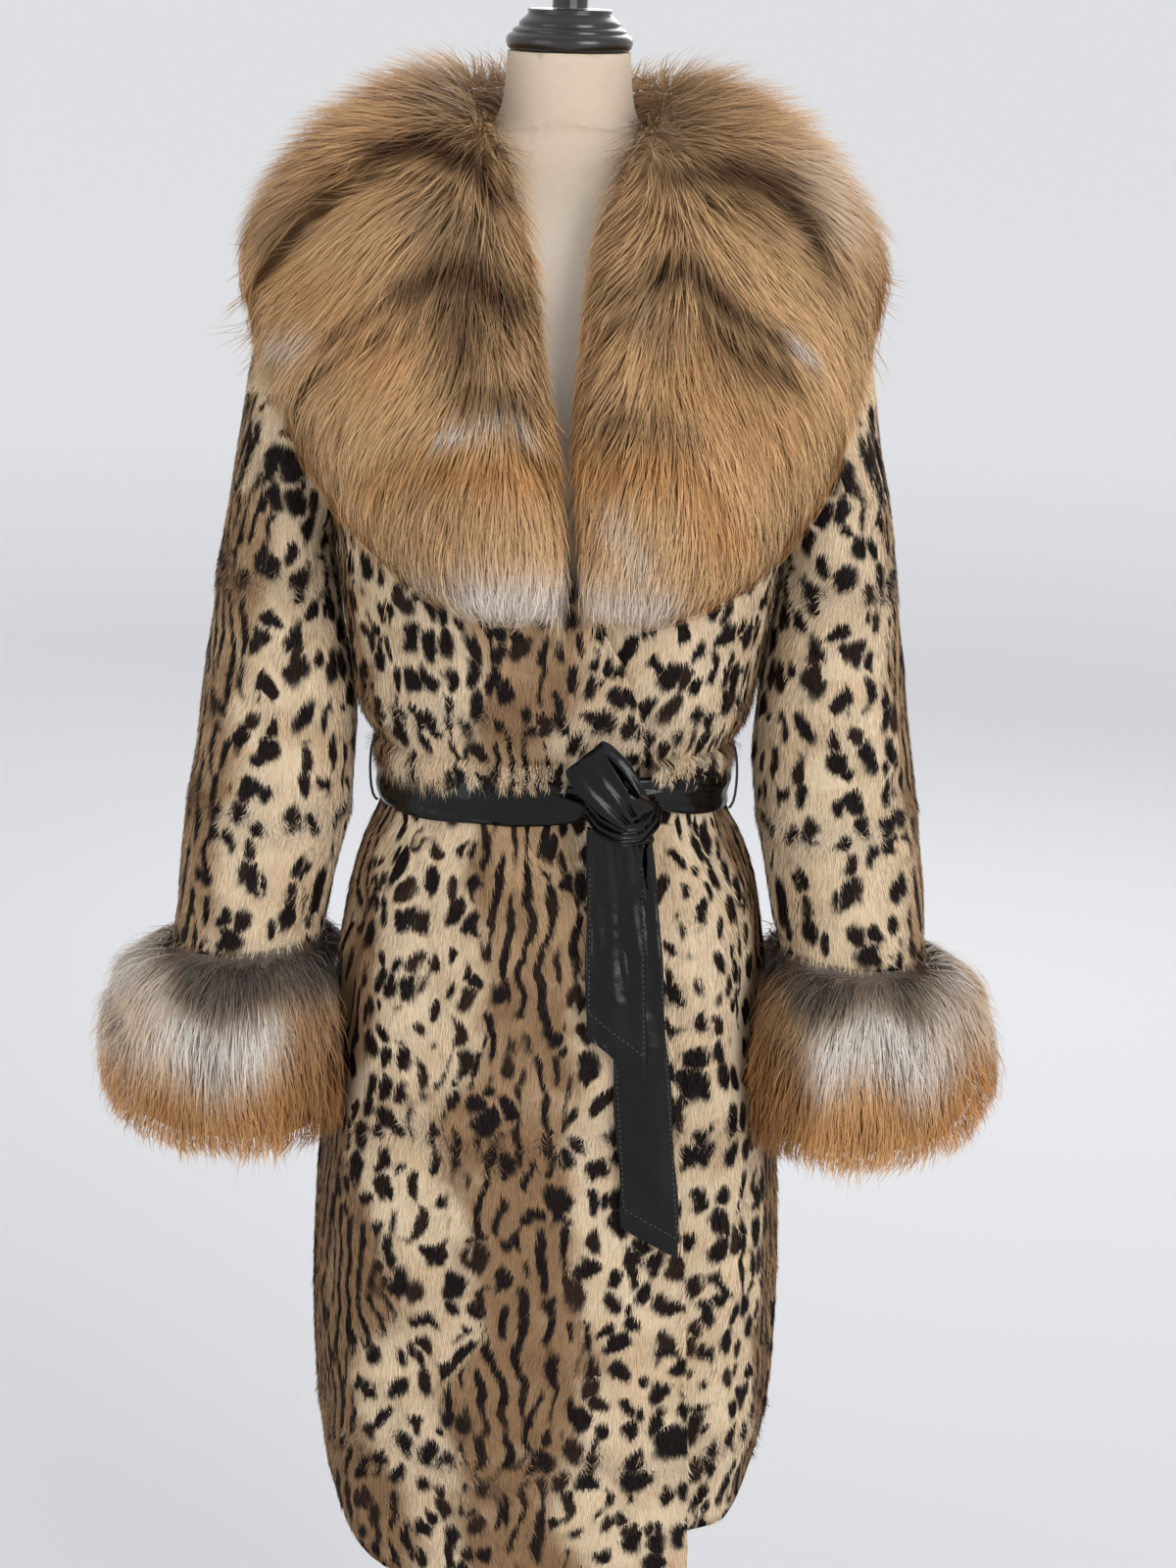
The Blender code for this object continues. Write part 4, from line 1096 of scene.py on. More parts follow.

# %% [markdown]
# ## Long fur: marks
#
# The bars and patches are listed one by one, each as a short line with a reach
# and a strength. A hair takes the marks near its middle, shifted by chance
# along its length, so each edge is as ragged as real fur.

# %% Place the collar's marks
COLLAR_MARKS = [  # colour, start (x, z), end (x, z), reach, strength
    ("dark", (-0.140, 1.428), (-0.100, 1.437), 0.011, 0.95),
    ("dark", (-0.100, 1.437), (-0.066, 1.426), 0.013, 1.00),
    ("dark", (-0.066, 1.426), (-0.046, 1.402), 0.010, 0.90),
    ("dark", (-0.172, 1.410), (-0.222, 1.358), 0.013, 0.50),
    ("dark", (-0.112, 1.336), (-0.074, 1.353), 0.013, 1.00),
    ("dark", (-0.074, 1.353), (-0.036, 1.330), 0.016, 1.00),
    ("dark", (-0.073, 1.340), (-0.070, 1.296), 0.021, 0.72),
    # Painted shadow: the next thin dark line, down and out from the chevron, is a
    # shadow edge.
    ("dark", (-0.116, 1.334), (-0.170, 1.296), 0.006, 0.60),
    ("dark", (-0.070, 1.270), (-0.028, 1.264), 0.013, 0.75),
    ("pale", (-0.084, 1.238), (-0.040, 1.254), 0.0040, 0.85),
    ("pale", (-0.034, 1.256), (-0.018, 1.236), 0.004, 0.50),
    ("pale", (-0.214, 1.282), (-0.190, 1.292), 0.009, 0.40),
    ("rust", (-0.090, 1.216), (-0.014, 1.214), 0.017, 0.85),
    ("rust", (-0.134, 1.196), (-0.110, 1.210), 0.014, 0.60),
    ("rust", (-0.185, 1.400), (-0.110, 1.450), 0.022, 0.30),
    ("pale", (-0.100, 1.126), (-0.070, 1.122), 0.012, 0.35),
    ("pale", (-0.056, 1.120), (0.004, 1.118), 0.021, 0.85),
    ("grey", (-0.096, 1.388), (-0.064, 1.380), 0.016, 0.45),
    ("grey", (-0.108, 1.462), (-0.060, 1.466), 0.016, 0.40),
    ("dark", (0.075, 1.420), (0.112, 1.424), 0.009, 0.65),
    ("dark", (0.112, 1.424), (0.158, 1.412), 0.014, 0.95),
    ("dark", (0.158, 1.410), (0.182, 1.384), 0.012, 0.70),
    ("dark", (0.184, 1.370), (0.196, 1.345), 0.016, 0.40),
    ("dark", (0.070, 1.351), (0.087, 1.360), 0.011, 1.00),
    ("dark", (0.087, 1.360), (0.128, 1.322), 0.009, 1.00),
    ("dark", (0.128, 1.322), (0.162, 1.304), 0.008, 0.80),
    ("dark", (0.120, 1.305), (0.155, 1.282), 0.016, 0.60),
    ("dark", (0.030, 1.335), (0.055, 1.341), 0.010, 0.40),
    ("pale", (0.165, 1.306), (0.182, 1.291), 0.0045, 0.75),
    ("dark", (0.034, 1.252), (0.088, 1.246), 0.013, 0.50),
    ("rust", (0.024, 1.216), (0.086, 1.220), 0.019, 0.85),
    ("rust", (0.108, 1.200), (0.126, 1.158), 0.018, 0.65),
    ("pale", (0.040, 1.180), (0.062, 1.150), 0.010, 0.40),
    ("pale", (0.032, 1.120), (0.072, 1.116), 0.016, 0.70),
    ("grey", (0.048, 1.450), (0.080, 1.452), 0.022, 0.40),
    ("grey", (0.060, 1.330), (0.075, 1.300), 0.012, 0.30),
    ("pale", (0.188, 1.424), (0.206, 1.385), 0.020, 0.35),
    ("rust", (-0.200, 1.330), (-0.130, 1.290), 0.030, 0.40),
    ("rust", (0.090, 1.290), (0.150, 1.240), 0.034, 0.45),
    ("dark", (-0.090, 1.350), (-0.108, 1.306), 0.006, 0.50),
    ("dark", (-0.052, 1.340), (-0.044, 1.300), 0.006, 0.50),
    ("dark", (0.100, 1.346), (0.110, 1.300), 0.005, 0.50),
    ("dark", (0.136, 1.420), (0.150, 1.372), 0.007, 0.50),
]
BACK_MARKS = [
    ("dark", (-0.070, 1.420), (0.000, 1.408), 0.012, 0.90),
    ("dark", (0.000, 1.408), (0.075, 1.422), 0.012, 0.90),
    ("dark", (-0.190, 1.380), (-0.120, 1.400), 0.012, 0.55),
    ("dark", (0.120, 1.400), (0.190, 1.380), 0.012, 0.55),
    ("grey", (-0.050, 1.452), (0.050, 1.452), 0.016, 0.60),
    ("rust", (-0.120, 1.352), (-0.030, 1.348), 0.018, 0.60),
    ("rust", (0.030, 1.348), (0.120, 1.352), 0.018, 0.60),
    ("pale", (-0.100, 1.310), (0.100, 1.310), 0.014, 0.50),
]


def mark_shares(marks, across, height):
    """How much of each colour the marks give at each point."""
    shares = {label.lower(): np.zeros(len(across)) for label in FOX_COLOURS}
    spots = np.stack([across, height], axis=1)
    for colour, start, end, reach, strength in marks:
        gap = line_gap(spots, start, end)[1]
        here = strength * np.exp(-((gap / reach) ** 2) / 1.2)
        shares[colour] = np.maximum(shares[colour], here)
    return shares


def collar_shares(points):
    """The collar's colours at points, by its front marks or its back ones."""
    front = mark_shares(COLLAR_MARKS, points[:, 0], points[:, 2])
    back = mark_shares(BACK_MARKS, points[:, 0], points[:, 2])
    behind = ramp(points[:, 1], 0.005, 0.045)
    return {k: front[k] * (1 - behind) + back[k] * behind for k in front}


# %% [markdown]
# ## Long fur: which way it lies
#
# On each side of the collar the hair fans out from a line down the middle of
# the lapel: outward over the shoulder, inward to the neck, and straight down at
# the bottom. Two short tables give that line and how wide the fan opens.

# %% Comb the collar
LAPEL_LINES = {  # side: x of the fan's middle at each height
    -1: [
        (1.130, -0.030),
        (1.258, -0.048),
        (1.344, -0.061),
        (1.408, -0.060),
        (1.436, -0.034),
        (1.462, 0.000),
    ],
    1: [
        (1.130, 0.062),
        (1.247, 0.083),
        (1.347, 0.091),
        (1.408, 0.076),
        (1.436, 0.044),
        (1.462, 0.010),
    ],
}
FAN = [  # height, degrees outward, degrees inward
    (1.120, 8, 6),
    (1.200, 22, 16),
    (1.300, 44, 36),
    (1.380, 60, 48),
    (1.450, 80, 20),
]
FAN_REACH = (0.105, 0.045)
CUFF_FLARE = 0.55


def collar_way(points, normals):
    """The way the collar's hair lies at points, along its surface."""
    side = np.where(points[:, 0] < 0, -1.0, 1.0)
    height = points[:, 2]
    middle = np.zeros(len(points))
    for hand, line in LAPEL_LINES.items():
        at, x = np.array(line).T
        middle = np.where(side == hand, np.interp(height, at, x), middle)
    away = (points[:, 0] - middle) * side
    at, outward, inward = np.array(FAN, float).T
    spread_out = np.interp(height, at, np.radians(outward))
    spread_in = np.interp(height, at, np.radians(inward))
    angle = np.where(
        away > 0,
        spread_out * np.tanh(away / FAN_REACH[0] * 1.3),
        spread_in * np.tanh(away / FAN_REACH[1]),
    )
    front = np.stack([np.sin(angle) * side, 0 * angle, -np.cos(angle)], axis=1)
    back = np.stack([points[:, 0] * 4.0, 0 * angle + 0.25, 0 * angle - 0.9], axis=1)
    behind = ramp(points[:, 1], -0.01, 0.05)[:, None]
    way = front * (1 - behind) + unit(back) * behind
    return unit(along_face(way, normals))


def cuff_way(points, normals, middle):
    """The way a cuff's hair lies: down, and a little outward."""
    out = points - middle
    out[:, 2] = 0
    way = unit(out) * CUFF_FLARE + (0, 0, -1.0)
    return unit(along_face(way, normals))


# %% [markdown]
# ## Long fur: tiers
#
# The collar is made of pelts that overlap like roof tiles. Each begins low under
# the tips of the one above and rises to its own tips. Three listed lines
# on each lapel say where a pelt begins: below a line the fur sinks, and above
# it the fur is full, so that light and shade show the tiers.

# %% Sink and fill the tiers
TIER_LINES = [  # (x, z) along the top of each pelt
    [
        (-0.215, 1.350), (-0.168, 1.402), (-0.120, 1.428),
        (-0.085, 1.430), (-0.050, 1.400),
    ],
    [
        (-0.190, 1.278), (-0.152, 1.304), (-0.112, 1.335),
        (-0.074, 1.352), (-0.034, 1.326),
    ],
    [
        (-0.140, 1.206), (-0.100, 1.228), (-0.060, 1.250),
        (-0.030, 1.258), (-0.014, 1.236),
    ],
    [(0.066, 1.412), (0.100, 1.418), (0.137, 1.420), (0.160, 1.404), (0.186, 1.368)],
    [(0.034, 1.334), (0.060, 1.345), (0.085, 1.357), (0.126, 1.322), (0.182, 1.288)],
    [(0.026, 1.246), (0.055, 1.254), (0.090, 1.244), (0.125, 1.222)],
]
TIER_SINK = 0.0140
TIER_FILL = 0.0070
TIER_SPAN = 0.022


def tiers(points):
    """How much higher or lower than the solid the fur lies at points."""
    x, y, z = points.T
    relief = np.zeros(len(points))
    for line in TIER_LINES:
        at, height = np.array(line).T
        below = np.interp(x, at, height) + 0.003 * np.sin(150 * x) - z
        here = ramp(x, at[0] - 0.02, at[0] + 0.01)
        here = here * (1 - ramp(x, at[-1] - 0.01, at[-1] + 0.015))
        here = here * (1 - ramp(y, -0.02, 0.02))
        shape = np.where(
            below > 0,
            -TIER_SINK * np.exp(-((below / TIER_SPAN) ** 2)),
            TIER_FILL * np.exp(-((below / TIER_SPAN) ** 2)),
        )
        relief += here * shape
    return relief


# %% [markdown]
# ## Long fur: growing it
#
# A long hair starts under the surface, comes up and then lies along it. Each
# step goes a little way with the hair's own lie, then back to the nearest point
# of the solid, until it runs off an edge and goes on straight as a fringe. Hair
# clings in locks, so every hair is drawn towards the nearest guide, more so at
# its tip. Beside the neck the hair is brushed back along the opening.

# %% Lead hairs along a surface
HAIR_ROWS = 4
HAIR_RISE = (-0.0085, -0.0005, 0.0025, 0.0038)
LOCK_PULL = (0.0, 0.06, 0.15, 0.26)
STAND_RISE = (0.0, 0.004, 0.012, 0.022)
OFF_EDGE = 0.02
DROOP = -0.001
STRAY_SHARE = 0.15
STRAY_LOOSE = 2.4
CALM_LOOSE = (0.3, 1.2)
MARK_JITTER = 0.085
LOCK_TONE = (0.5, 0.07)


def nearest_on(tree, points):
    """The nearest surface points and their normals."""
    found = [tree.find_nearest(point) for point in points.tolist()]
    places = np.array([f[0][:] for f in found])
    return places, np.array([f[1][:] for f in found])


def lead_hairs(tree, roots, normals, lengths, loose, style, chance):
    """Rows of points for hairs that follow a surface."""
    count = len(roots)
    way_at, relief_at = style["way"], style["relief"]
    step = lengths[:, None] / (HAIR_ROWS - 1)
    spot, facing = roots.copy(), normals.copy()
    turn = 0.15 * chance.standard_normal(count) + 0.18 * sway(roots, 30.0)
    heading = turned_about(way_at(spot, facing), facing, turn)
    stand = ramp(normals[:, 2], 0.30, 0.90) * chance.uniform(0.3, 1.3, count)
    stand = stand * style["stand"]
    start = relief_at(roots)
    rows, free = [], np.zeros((count, 1), bool)
    for row in range(HAIR_ROWS):
        relief = np.maximum(start, relief_at(spot)) if row else start
        rise = HAIR_RISE[row] * (loose if row > 1 else style["bury"](roots))
        tall = rise + relief + stand * STAND_RISE[row]
        rows.append(spot + facing * np.reshape(tall, (-1, 1)))
        ahead = spot + heading * step
        at, normal = nearest_on(tree, ahead)
        stays = ((normal * facing).sum(1) > style["stick"](roots)) & (
            np.linalg.norm(at - ahead, axis=1) < OFF_EDGE
        )
        free = free | ~stays[:, None]
        onward = spot + heading * step * style["fringe"] + (0, 0, DROOP)
        spot = np.where(free, onward, at)
        facing = np.where(free, facing, unit(0.5 * facing + normal))
        wanted = turned_about(way_at(spot, facing), facing, turn)
        heading = unit(np.where(free, heading, 0.45 * heading + 0.55 * wanted))
    return np.stack(rows, axis=1), facing


def draw_locks(points, chance, guides):
    """Draws each hair towards its guide, and gives each lock a number."""
    picked = chance.choice(len(points), guides, replace=False)
    near = KDTree(guides)
    for i, guide in enumerate(picked):
        near.insert(points[guide, 1], i)
    near.balance()
    lock = np.array([near.find(p)[1] for p in points[:, 1].tolist()])
    guide = points[picked[lock]]
    pull = np.array(LOCK_PULL)[None, :, None]
    strength = (0.25 + 0.75 * chance.random((len(points), 1, 1))) * pull
    return points + (guide - points) * strength, lock


def hair_sides(points, facing, chance):
    """Which way each ribbon is wide."""
    heading = unit(points[:, -1] - points[:, 1])
    sides = unit(np.cross(facing, heading))
    return turned_about(sides, heading, chance.uniform(-0.5, 0.5, len(points)))


def row_corners(values):
    """A value for each row of each hair as a value for each corner."""
    pairs = np.repeat(values[:, :-1], 2, axis=1)
    return np.concatenate([pairs, values[:, -1:]], axis=1).ravel()


def grow_fur(name, tree, roots, normals, shares_at, style, chance):
    """A piece of long fur."""
    count = len(roots)
    lengths = chance.uniform(*style["length"], count) * style["trim"](roots)
    stray = chance.random(count) < STRAY_SHARE
    loose = np.where(stray, STRAY_LOOSE, chance.uniform(*CALM_LOOSE, count))
    loose = loose * style["loose"]
    points, facing = lead_hairs(tree, roots, normals, lengths, loose, style, chance)
    points, lock = draw_locks(points, chance, style["guides"])
    points = style["brush"](points, chance)
    sides = hair_sides(points, facing, chance)
    widths = chance.uniform(*style["width"], count)
    piece = join_ribbons(name, points, sides, widths, fox_hair)
    jitter = chance.normal(0, MARK_JITTER, (count, 1, 1))
    places = points + (points[:, -1:] - points[:, 1:2]) * jitter
    places = places.reshape(-1, 3)
    lively = 0.80 + 0.40 * chance.random((count, 1))
    for label, values in shares_at(places).items():
        values = values.reshape(count, HAIR_ROWS) * lively
        give_numbers(piece.data, label, row_corners(np.clip(values, 0, 1)))
    lock_tone = chance.normal(*LOCK_TONE, style["guides"])[lock]
    tone = lock_tone + 0.17 * chance.standard_normal(count) + 0.18 * sway(roots, 26.0)
    tone = np.clip(tone, 0, 1)
    give_numbers(piece.data, "tone", on_corners(tone, HAIR_ROWS))
    return piece


# %% Make the under-fur
UNDER_SHARE = 0.33
UNDER_LOOKS = {"along": 0.55, "tone": 0.45}


def make_under(node, depth, shares_at, relief_at):
    """The dense fur below the long hair, as a padded volume."""
    piece = clean_copy(node, node + "_under")
    mesh = piece.data
    points = numbers(mesh.vertices, "co", 3)
    normals = numbers(mesh.vertices, "normal", 3)
    inner = triangle_tree([NODES[node].data])
    for i, (point, normal) in enumerate(zip(points.tolist(), normals.tolist())):
        start = Vector(point) - RAY_LIFT * Vector(normal)
        through = inner.ray_cast(start, -Vector(normal), 0.08)[3] or 0.08
        points[i] -= np.array(normal) * min(depth, UNDER_SHARE * through)
    points += normals * np.minimum(relief_at(points), 0)[:, None]
    move_points(mesh, points)
    for label, value in UNDER_LOOKS.items():
        give_numbers(mesh, label, np.full(len(points), value))
    for label, values in shares_at(points).items():
        give_numbers(mesh, label, values)
    mesh.materials.append(fox_under)
    return piece


# %% Grow the collar
NECK_HEIGHTS = (1.236, 1.258, 1.300, 1.355, 1.408, 1.462)
NECK_RIGHT = (0.005, -0.001, -0.011, -0.017, -0.023, -0.033)
NECK_LEFT = (0.009, 0.015, 0.020, 0.024, 0.028, 0.040)
NECK_MIDDLE = 0.007
NECK_FUZZ = (0.001, 0.013)


def brush_from_neck(points, chance):
    """Keeps the collar's hair out of the opening, but for a soft fuzz."""
    x, y, z = points.transpose(2, 0, 1)
    fuzz = chance.uniform(*NECK_FUZZ, (len(points), 1))
    here = (y < 0.0) & (z > NECK_HEIGHTS[0])
    left = np.broadcast_to(points[:, :1, 0] > NECK_MIDDLE, x.shape)
    over_right = np.maximum(x - np.interp(z, NECK_HEIGHTS, NECK_RIGHT), 0)
    over_left = np.maximum(np.interp(z, NECK_HEIGHTS, NECK_LEFT) - x, 0)
    brushed = np.where(
        left,
        x + over_left - fuzz * np.tanh(over_left / fuzz),
        x - over_right + fuzz * np.tanh(over_right / fuzz),
    )
    points = points.copy()
    points[..., 0] = np.where(here, brushed, x)
    return points


COLLAR_STYLE = {
    "length": (0.038, 0.062),
    "width": (0.0004, 0.0009),
    "guides": 2600,
    "loose": 1.0,
    "stick": lambda roots: 0.30,
    "fringe": 0.75,
    "stand": 1.0,
    "bury": lambda roots: 1.0,
    "trim": lambda roots: 1 - 0.22 * ramp(roots[:, 2], 1.40, 1.46),
    "relief": tiers,
    "way": collar_way,
    "brush": brush_from_neck,
}
COLLAR_HAIRS = 74000
COLLAR_SIDE_MOST = 30000
COAT_REACH = 0.03

collar_tree = triangle_tree([NODES["fur_collar"].data])
coat_tree = triangle_tree([NODES[name].data for name in PANELS])


def off_the_coat(points, normals):
    """A weight that leaves out the collar's faces which lie on the coat."""
    return clear_of(coat_tree, points, normals, COAT_REACH)


make_under("fur_collar", 0.011, collar_shares, tiers)
rooting = clean_copy("fur_collar", "collar_rooting", 0)
chance = np.random.default_rng(71)
roots, normals = scatter(rooting.data, COLLAR_HAIRS, chance, off_the_coat)
bpy.data.objects.remove(rooting)
collar_fur = []
for name, mine in (("right", roots[:, 0] < 0), ("left", roots[:, 0] >= 0)):
    mine = np.flatnonzero(mine)[:COLLAR_SIDE_MOST]
    piece = grow_fur(
        "collar_fur_" + name,
        collar_tree,
        roots[mine],
        normals[mine],
        collar_shares,
        COLLAR_STYLE,
        chance,
    )
    collar_fur.append(piece)
    print(piece.name, len(mine), "hairs of", HAIR_ROWS - 1, "steps")

# %% [markdown]
# ## Cuffs
#
# A cuff's hair is dark grey at the seam, silver in the middle and rust at its
# ragged tips, with gold on the outer side. The same functions grow it. Here the
# hair leaves the surface sooner, so that it stands out below like a skirt.

# %% Grow the cuffs
CUFF_HAIRS = 14500
CROWN_SINK = 0.005
CUFF_MIDDLE = (0.246, -0.026, 0.0)
CUFF_TRIM = [(0.17, 0.75), (0.22, 1.15), (0.26, 1.1), (0.30, 0.85), (0.33, 0.55)]


def cuff_shares(side):
    """A function for the colours of one cuff."""

    def shares(points):
        x = points[:, 0] * side
        z = points[:, 2]
        outside = ramp(x, 0.268, 0.322)
        inside = 1 - ramp(x, 0.182, 0.216)
        wave = 0.008 * np.sin(points[:, 0] * 70) + 0.006 * np.sin(points[:, 1] * 90)
        lift = 0.010 * (side > 0)
        low = 1 - ramp(z + wave - 0.010 * inside - lift, 0.714, 0.762)
        high = ramp(z + wave - lift, 0.780, 0.804)
        grey = high * (1 - 0.9 * outside)
        outer = outside * (0.30 if side > 0 else 0.05)
        rust = np.clip(0.72 * low + 0.70 * inside * (1 - high) + outer, 0, 1)
        pale = np.clip((1 - low) * (1 - 0.9 * inside), 0, 1)
        pale = pale * (0.95 - 0.50 * outside * (1 - high))
        # Painted shade: the dark share on the inner side, toward the body, stands in
        # for the body's shadow on the cuff.
        dark = 0.45 * inside * (1 - high)
        rust = rust * (1 - grey) * (1 - 0.55 * pale)
        return {"grey": grey, "rust": rust, "pale": pale * (1 - grey), "dark": dark}

    return shares


def cuff_crown(points):
    """How much lower the under-fur lies near the cuff's top."""
    return -CROWN_SINK * ramp(points[:, 2], 0.768, 0.806)


def grow_cuff(node, side, seed):
    """The under-fur and the long fur of one cuff."""
    chance = np.random.default_rng(seed)
    middle = np.array(CUFF_MIDDLE) * (side, 1, 1)
    shares = cuff_shares(side)
    make_under(node, 0.012, shares, cuff_crown)
    rooting = clean_copy(node, node + "_rooting", 0)
    style = {
        "length": (0.040, 0.068),
        "width": (0.0004, 0.0009),
        "guides": 700,
        "loose": 1.3,
        "stick": lambda roots: 0.80 - 0.75 * ramp(roots[:, 2], 0.755, 0.780),
        "fringe": 0.85,
        "stand": 0.0,
        "bury": lambda roots: 1 - 0.85 * ramp(roots[:, 2], 0.785, 0.805),
        "trim": lambda roots: (0.48 + 0.52 * ramp(roots[:, 2], 0.690, 0.750)) * (
            1 + 0.40 * sway(roots, 75.0)
        ) * np.interp(roots[:, 0] * side, *np.array(CUFF_TRIM).T),
        "relief": lambda points: 0 * points[:, 0],
        "way": lambda points,
        normals: cuff_way(points, normals, middle),
        "brush": lambda points,
        chance: points,
    }

    def weigh(points, normals):
        out = points - middle
        out[:, 2] = 0
        facing = (normals * unit(out)).sum(1)
        crown = 1 + 1.5 * ramp(points[:, 2], 0.785, 0.800)
        return (facing > -0.2) * crown * ramp(points[:, 2], 0.675, 0.700)

    roots, normals = scatter(rooting.data, CUFF_HAIRS, chance, weigh)
    bpy.data.objects.remove(rooting)
    tree = triangle_tree([NODES[node].data])
    piece = grow_fur(node + "_fur", tree, roots, normals, shares, style, chance)
    return piece


cuff_fur = [grow_cuff("cuff_right", -1, 83), grow_cuff("cuff_left", 1, 84)]
print("cuffs", [piece.name for piece in cuff_fur])

# %% [markdown]
# ## Belt
#
# The belt is soft black imitation leather, folded over at its edges and
# stitched. Pulled into a half bow, it gathers near the knot: there the strap
# narrows and runs into lengthwise folds. The straps are copies of their solids
# with the folds pressed in by listed tables; a material gives the grain.

# %% Make the leather
BLACK = (0.0008, 0.0008, 0.0009, 1)
RUBBED_BLACK = (0.0026, 0.0024, 0.0028, 1)

leather, graph, shader = new_material("belt_leather", gloss=0.30)
place = graph.place()
soft = graph.noise(place, 38.0, 3.0, 0.55)["Fac"]
colour = graph.blend(graph.step(soft, 0.45, 0.75), BLACK, RUBBED_BLACK)
graph.link(colour, shader["Base Color"])
graph.link(graph.between(soft, 0.14, 0.26), shader["Roughness"])
creased = graph.bump(graph.noise(place, 40.0)["Fac"], 0.40, 0.004)
feeds = [("Vector", place), ("Scale", 900.0)]
grain = graph.add("ShaderNodeTexVoronoi", feeds, feature="SMOOTH_F1").outputs
grained = graph.bump(grain["Distance"], 0.18, 0.0003, [("Normal", creased)])
graph.link(grained, shader["Normal"])

# %% Gather the straps
KNOT = (0.054, 0.955)
STRAPS = ("belt_band", "belt_knot", "belt_tail_back", "belt_tail_front")
STRAP_LEVELS = 2
BAND_REACH = 0.085
BAND_SHRINK = 0.55
BAND_SHIFT = (-0.0030, 0.0060)
BAND_FOLD = 0.0028
TAIL_FOLD = 0.0024
TAIL_REACH = 0.100
TAIL_STRETCH = {"belt_tail_front": 1.055, "belt_tail_back": 1.033}


def gather(node, points, normals):
    """Moves a strap's points into the folds that run out of the knot."""
    x, y, z = points.T
    moved = points.copy()
    if node == "belt_band":
        near = np.clip(1 - np.abs(x - KNOT[0]) / BAND_REACH, 0, 1) * (y < 0)
        shift = np.where(x < KNOT[0], *BAND_SHIFT) * near
        moved[:, 2] = KNOT[1] + (z - KNOT[1]) * (1 - BAND_SHRINK * near) + shift
        phase = (z - KNOT[1]) * 380 + 14 * x
        height = BAND_FOLD * near * np.sin(phase) + 0.0013 * np.sin(60 * x + 230 * z)
    elif "tail" in node:
        below = np.maximum(KNOT[1] - 0.012 - z, 0)
        near = np.exp(-below / TAIL_REACH)
        phase = (x - KNOT[0] - 0.12 * below) * (430 - 190 * (1 - near)) + 1.1
        moved[:, 2] = KNOT[1] + (z - KNOT[1]) * TAIL_STRETCH[node]
        height = TAIL_FOLD * near * np.sin(phase)
        height = height + 0.0012 * np.sin(80 * z + 110 * x) * (1 - near)
    else:
        slant = (x - KNOT[0]) * 0.55 + (z - KNOT[1])
        height = 0.0016 * np.sin(slant * 480) - 0.0012 * np.cos((x + z) * 210)
    return moved + normals * np.reshape(height, (-1, 1))


def make_strap(node):
    """A belt piece: its solid rounded and gathered."""
    crisp_over = None if node == "belt_knot" else 0.0
    piece = clean_copy(node, node + "_leather", STRAP_LEVELS, crisp_over)
    mesh = piece.data
    points = numbers(mesh.vertices, "co", 3)
    points = gather(node, points, numbers(mesh.vertices, "normal", 3))
    move_points(mesh, points)
    mesh.materials.append(leather)
    return piece


straps = {node: make_strap(node) for node in STRAPS}
print("straps", {node: len(piece.data.polygons) for node, piece in straps.items()})

# %% [markdown]
# The half bow and the wrap over the knot are short lengths of the same strap. A
# grid is bent along a listed line, with its folds, and given a thickness.

# %% Fold the bow and the wrap
FOLDED = {  # name: rows of middle, way across, width, and folds across
    "belt_bow_strap": [
        ((0.060, -0.150, 0.953), (0.55, 0.00, 0.83), 0.018, 1.0),
        ((0.048, -0.1545, 0.968), (0.66, 0.05, 0.75), 0.026, 0.7),
        ((0.034, -0.1555, 0.984), (0.74, 0.10, 0.67), 0.032, 0.3),
        ((0.0245, -0.152, 0.997), (0.76, 0.14, 0.63), 0.034, 0.1),
        ((0.0235, -0.146, 1.0025), (0.76, 0.14, 0.63), 0.034, 0.1),
        ((0.030, -0.141, 0.999), (0.76, 0.10, 0.64), 0.034, 0.2),
        ((0.045, -0.138, 0.986), (0.74, 0.05, 0.67), 0.032, 0.5),
        ((0.062, -0.137, 0.966), (0.70, 0.00, 0.71), 0.022, 1.0),
    ],
    "belt_knot_wrap": [
        ((0.026, -0.128, 0.958), (0.10, -0.10, 1.00), 0.013, 0.8),
        ((0.036, -0.142, 0.950), (0.25, -0.15, 0.95), 0.016, 1.0),
        ((0.052, -0.1485, 0.943), (0.20, -0.25, 0.95), 0.018, 1.0),
        ((0.067, -0.143, 0.943), (-0.15, -0.20, 0.97), 0.017, 1.0),
        ((0.077, -0.130, 0.952), (-0.45, -0.10, 0.88), 0.015, 1.0),
        ((0.078, -0.118, 0.962), (-0.60, -0.05, 0.80), 0.013, 0.8),
    ],
}
FOLD_COUNT = 2.5
FOLD_HEIGHT = 0.0016
STRAP_THICK = 0.0016
STRAP_ROUND = 0.0005


